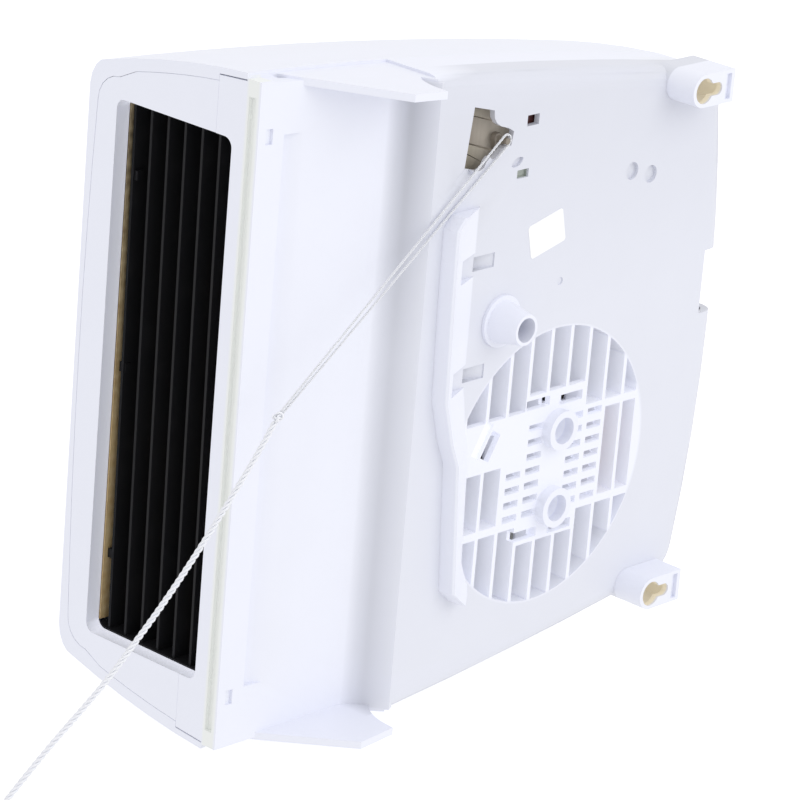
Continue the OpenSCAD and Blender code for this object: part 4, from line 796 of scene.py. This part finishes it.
def growTree(name, sizes):
    # a geometry tree with one named input for each size
    group = bpy.data.node_groups.new(name, "GeometryNodeTree")
    group.interface.new_socket("Geometry", in_out="OUTPUT", socket_type="NodeSocketGeometry")
    for label, value in sizes.items():
        kind = "NodeSocketInt" if isinstance(value, int) else "NodeSocketFloat"
        group.interface.new_socket(label, in_out="INPUT", socket_type=kind).default_value = value
    tree = Tree(group)
    source = tree.node("NodeGroupInput")
    return tree, {label: Signal(tree, source.outputs[label]) for label in sizes}


def carryOut(name, tree, sizes, shape, finish):
    # ends the tree in real, dressed faces and keeps them as a plain mesh
    whole = tree.add("GeometryNodeRealizeInstances", None, {"Geometry": shape})
    dressed = tree.add("GeometryNodeSetMaterial", None, {"Geometry": whole, "Material": finish})
    tree.node("NodeGroupOutput", None, {"Geometry": dressed})
    piece = addPiece(name, bpy.data.meshes.new(name))
    build = piece.modifiers.new("build", "NODES")
    build.node_group = tree.nodeTree
    for item in tree.nodeTree.interface.items_tree:
        if item.in_out == "INPUT":
            build[item.identifier] = sizes[item.name]
    return plainMesh(piece)


def vector(tree, x=0.0, y=0.0, z=0.0):
    return tree.add("ShaderNodeCombineXYZ", None, {"X": x, "Y": y, "Z": z})


def moved(tree, shape, offset, turn=(0, 0, 0)):
    return tree.add("GeometryNodeTransform", None,
                    {"Geometry": shape, "Translation": offset, "Rotation": turn})


def row(tree, shape, count, offset):
    # copies of a shape, one offset apart
    points = tree.add("GeometryNodeMeshLine", {"mode": "OFFSET"}, {"Count": count, "Offset": offset})
    return tree.add("GeometryNodeInstanceOnPoints", None, {"Points": points, "Instance": shape})


# the heating wire is wound in helices that lie between the mica boards
wireLook = {"coilRadius": 0.003, "wireRadius": 0.0004, "pitch": 0.0021, "across": 4, "rows": 2,
            "stepsPerTurn": 10, "sides": 6}
wireLow, wireHigh = [Vector(corner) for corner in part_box("heating_wire")]
wireSpan = wireHigh - wireLow
wireSizes = {
    "Length": wireSpan.x - 2 * wireLook["wireRadius"],
    "Coil Radius": wireLook["coilRadius"] - wireLook["wireRadius"],
    "Wire Radius": wireLook["wireRadius"],
    "Pitch": wireLook["pitch"],
    "Across": wireLook["across"],
    "Rows": wireLook["rows"],
    "Board Gap": (wireSpan.y - 2 * wireLook["coilRadius"]) / (wireLook["across"] - 1),
    "Row Gap": (wireSpan.z - 2 * wireLook["coilRadius"]) / (wireLook["rows"] - 1),
}
tree, size = growTree("heatingWindings", wireSizes)
helix = tree.add("GeometryNodeCurveSpiral", None, {
    "Resolution": wireLook["stepsPerTurn"], "Rotations": size["Length"] / size["Pitch"],
    "Start Radius": size["Coil Radius"], "End Radius": size["Coil Radius"], "Height": size["Length"]})
section = tree.add("GeometryNodeCurvePrimitiveCircle", None,
                   {"Resolution": wireLook["sides"], "Radius": size["Wire Radius"]})
winding = tree.add("GeometryNodeCurveToMesh", None,
                   {"Curve": helix, "Profile Curve": section, "Fill Caps": True})
corner = wireLow + Vector((wireLook["wireRadius"], wireLook["coilRadius"], wireLook["coilRadius"]))
lying = moved(tree, winding, tuple(corner), (0, math.pi / 2, 0))
oneRow = row(tree, lying, size["Across"], vector(tree, y=size["Board Gap"]))
bothRows = row(tree, oneRow, size["Rows"], vector(tree, z=size["Row Gap"]))
windings = carryOut("heatingWindings", tree, wireSizes, bothRows, finishes["resistance_wire"])
stand(windings, "heater", "heating_wire")
print("windings:", len(windings.data.polygons), "faces")

# the fan wheel: a disc and a ring with curved blades between them
wheelLow, wheelHigh = [Vector(corner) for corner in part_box("impeller")]
wheelLook = {"blades": 24, "chord": 0.008, "thick": 0.0008, "camber": 0.0012, "turn": 35.0,
             "plate": 0.002, "bore": 0.007, "bladeShare": 0.95, "bladeSteps": 7, "ringSteps": 72,
             "weld": 0.00001}
wheelSizes = {
    "Blades": wheelLook["blades"],
    "Radius": (wheelHigh.x - wheelLow.x) / 2,
    "Width": wheelHigh.y - wheelLow.y,
    "Chord": wheelLook["chord"],
    "Thickness": wheelLook["thick"],
    "Camber": wheelLook["camber"],
    "Turn": math.radians(wheelLook["turn"]),
    "Plate": wheelLook["plate"],
    "Bore": wheelLook["bore"],
}
tree, size = growTree("fanWheel", wheelSizes)


def plate(inner, outer, middle):
    # a flat ring between two radii, at a place along the axis
    steps = wheelLook["ringSteps"]
    circles = [tree.add("GeometryNodeCurvePrimitiveCircle", None,
                        {"Resolution": steps, "Radius": radius}) for radius in (inner, outer)]
    outline = tree.add("GeometryNodeJoinGeometry", None, {"Geometry": circles})
    face = tree.add("GeometryNodeFillCurve", None, {"Curve": outline})
    upper = tree.add("GeometryNodeExtrudeMesh", None, {
        "Mesh": face, "Offset": (0, 0, 1), "Offset Scale": size["Plate"], "Individual": False})
    under = tree.add("GeometryNodeFlipFaces", None, {"Mesh": face})
    both = tree.add("GeometryNodeJoinGeometry", None, {"Geometry": [upper, under]})
    closed = tree.add("GeometryNodeMergeByDistance", None,
                      {"Geometry": both, "Distance": wheelLook["weld"]})
    return moved(tree, closed, vector(tree, z=middle - size["Plate"] / 2))


# a straight blade, bent along its chord and set round the wheel
stock = tree.add("GeometryNodeMeshCube", None, {
    "Size": vector(tree, size["Chord"] * wheelLook["bladeShare"], size["Thickness"],
                   size["Width"] - size["Plate"]),
    "Vertices X": wheelLook["bladeSteps"], "Vertices Y": 2, "Vertices Z": 2})
along = tree.add("ShaderNodeSeparateXYZ", None, {0: tree.add("GeometryNodeInputPosition")})
share = along * 2 / size["Chord"]
blade = tree.add("GeometryNodeSetPosition", None, {
    "Geometry": stock, "Offset": vector(tree, y=(0.5 - share * share) * size["Camber"])})
seats = tree.add("GeometryNodeMeshCircle", None, {
    "Vertices": size["Blades"], "Radius": size["Radius"] - size["Chord"] / 2})
facing = tree.add("GeometryNodeInputIndex") / size["Blades"] * (2 * math.pi) + size["Turn"]
blades = tree.add("GeometryNodeInstanceOnPoints", None, {
    "Points": seats, "Instance": blade,
    "Rotation": tree.add("FunctionNodeEulerToRotation", None, {"Euler": vector(tree, z=facing)})})
half = size["Width"] / 2 - size["Plate"] / 2
parts = [blades, plate(size["Radius"] - size["Chord"], size["Radius"], 0 - half),
         plate(size["Bore"], size["Radius"], half)]
wheelShape = moved(tree, tree.add("GeometryNodeJoinGeometry", None, {"Geometry": parts}),
                   tuple((wheelLow + wheelHigh) / 2), (math.pi / 2, 0, 0))
wheel = carryOut("fanWheel", tree, wheelSizes, wheelShape, finishes["fan_moulding"])
stand(wheel, "fan_wheel", "impeller")
print("fan wheel:", len(wheel.data.polygons), "faces")

studio = {
    "floorHeight": -0.1385,
    "floorSize": 8.0,
    "floorGlow": 0.22,
    "floorRoughness": 0.9,
    "skyStrength": 0.93,
    "keyPower": 9.0,
    "keyPlace": (1.2, 1.7, 0.4),
    "keyAim": (0.0, 0.0, -0.1),
    "keySize": 1.6,
}


def layFloor(look):
    # the heater lies on its left side, so the floor is square to X
    shape = bmesh.new()
    half = look["floorSize"] / 2
    corners = ((-half, -half), (half, -half), (half, half), (-half, half))
    shape.faces.new([shape.verts.new((look["floorHeight"], y, z)) for y, z in corners])
    mesh = bpy.data.meshes.new("floor")
    shape.to_mesh(mesh)
    shape.free()
    # seen straight, the paper is burnt out to white outside the shadow, as in the photograph
    finish = Finish("floorPaper")
    seen = finish.add("ShaderNodeLightPath", output="Is Camera Ray")
    glow = finish.mixColour(seen * look["floorGlow"], black, white)
    finish.set(baseColor=white, roughness=look["floorRoughness"],
               emissionColor=glow, emissionStrength=1.0)
    # from its other side, and to light that isn't on its way to the camera, the floor is clear
    paper = Signal(finish, finish.shader.outputs["BSDF"])
    facing = 1 - finish.add("ShaderNodeNewGeometry", output="Backfacing")
    clear = finish.add("ShaderNodeBsdfTransparent")
    finish.feed(finish.nodeTree.nodes["Material Output"].inputs["Surface"],
                finish.add("ShaderNodeMixShader", None, {0: seen * facing, 1: clear, 2: paper}))
    return addPiece("floor", mesh, finish.material)


def hangLamp(look):
    data = bpy.data.lights.new("keyLamp", "AREA")
    data.energy = look["keyPower"]
    data.size = look["keySize"]
    lamp = bpy.data.objects.new("keyLamp", data)
    lamp.location = look["keyPlace"]
    beam = Vector(look["keyAim"]) - Vector(look["keyPlace"])
    lamp.rotation_euler = beam.to_track_quat("-Z", "Y").to_euler()
    bpy.context.scene.collection.objects.link(lamp)


def lightSky(look):
    # an even white sky, at full white where it is seen straight, in metal or through glass
    world = bpy.data.worlds.new("studio")
    bpy.context.scene.world = world
    world.use_nodes = True
    sky = Tree(world.node_tree)
    ray = sky.node("ShaderNodeLightPath")
    seen = Signal(sky, ray.outputs["Is Camera Ray"])
    for name in ("Is Glossy Ray", "Is Transmission Ray"):
        seen = seen.math("MAXIMUM", Signal(sky, ray.outputs[name]))
    backdrop = world.node_tree.nodes["Background"]
    sky.feed(backdrop.inputs["Color"], white)
    sky.feed(backdrop.inputs["Strength"], seen * (1 - look["skyStrength"]) + look["skyStrength"])


layFloor(studio)
hangLamp(studio)
lightSky(studio)
bpy.context.scene.view_settings.view_transform = "Standard"
print("floor, lamp and sky set")
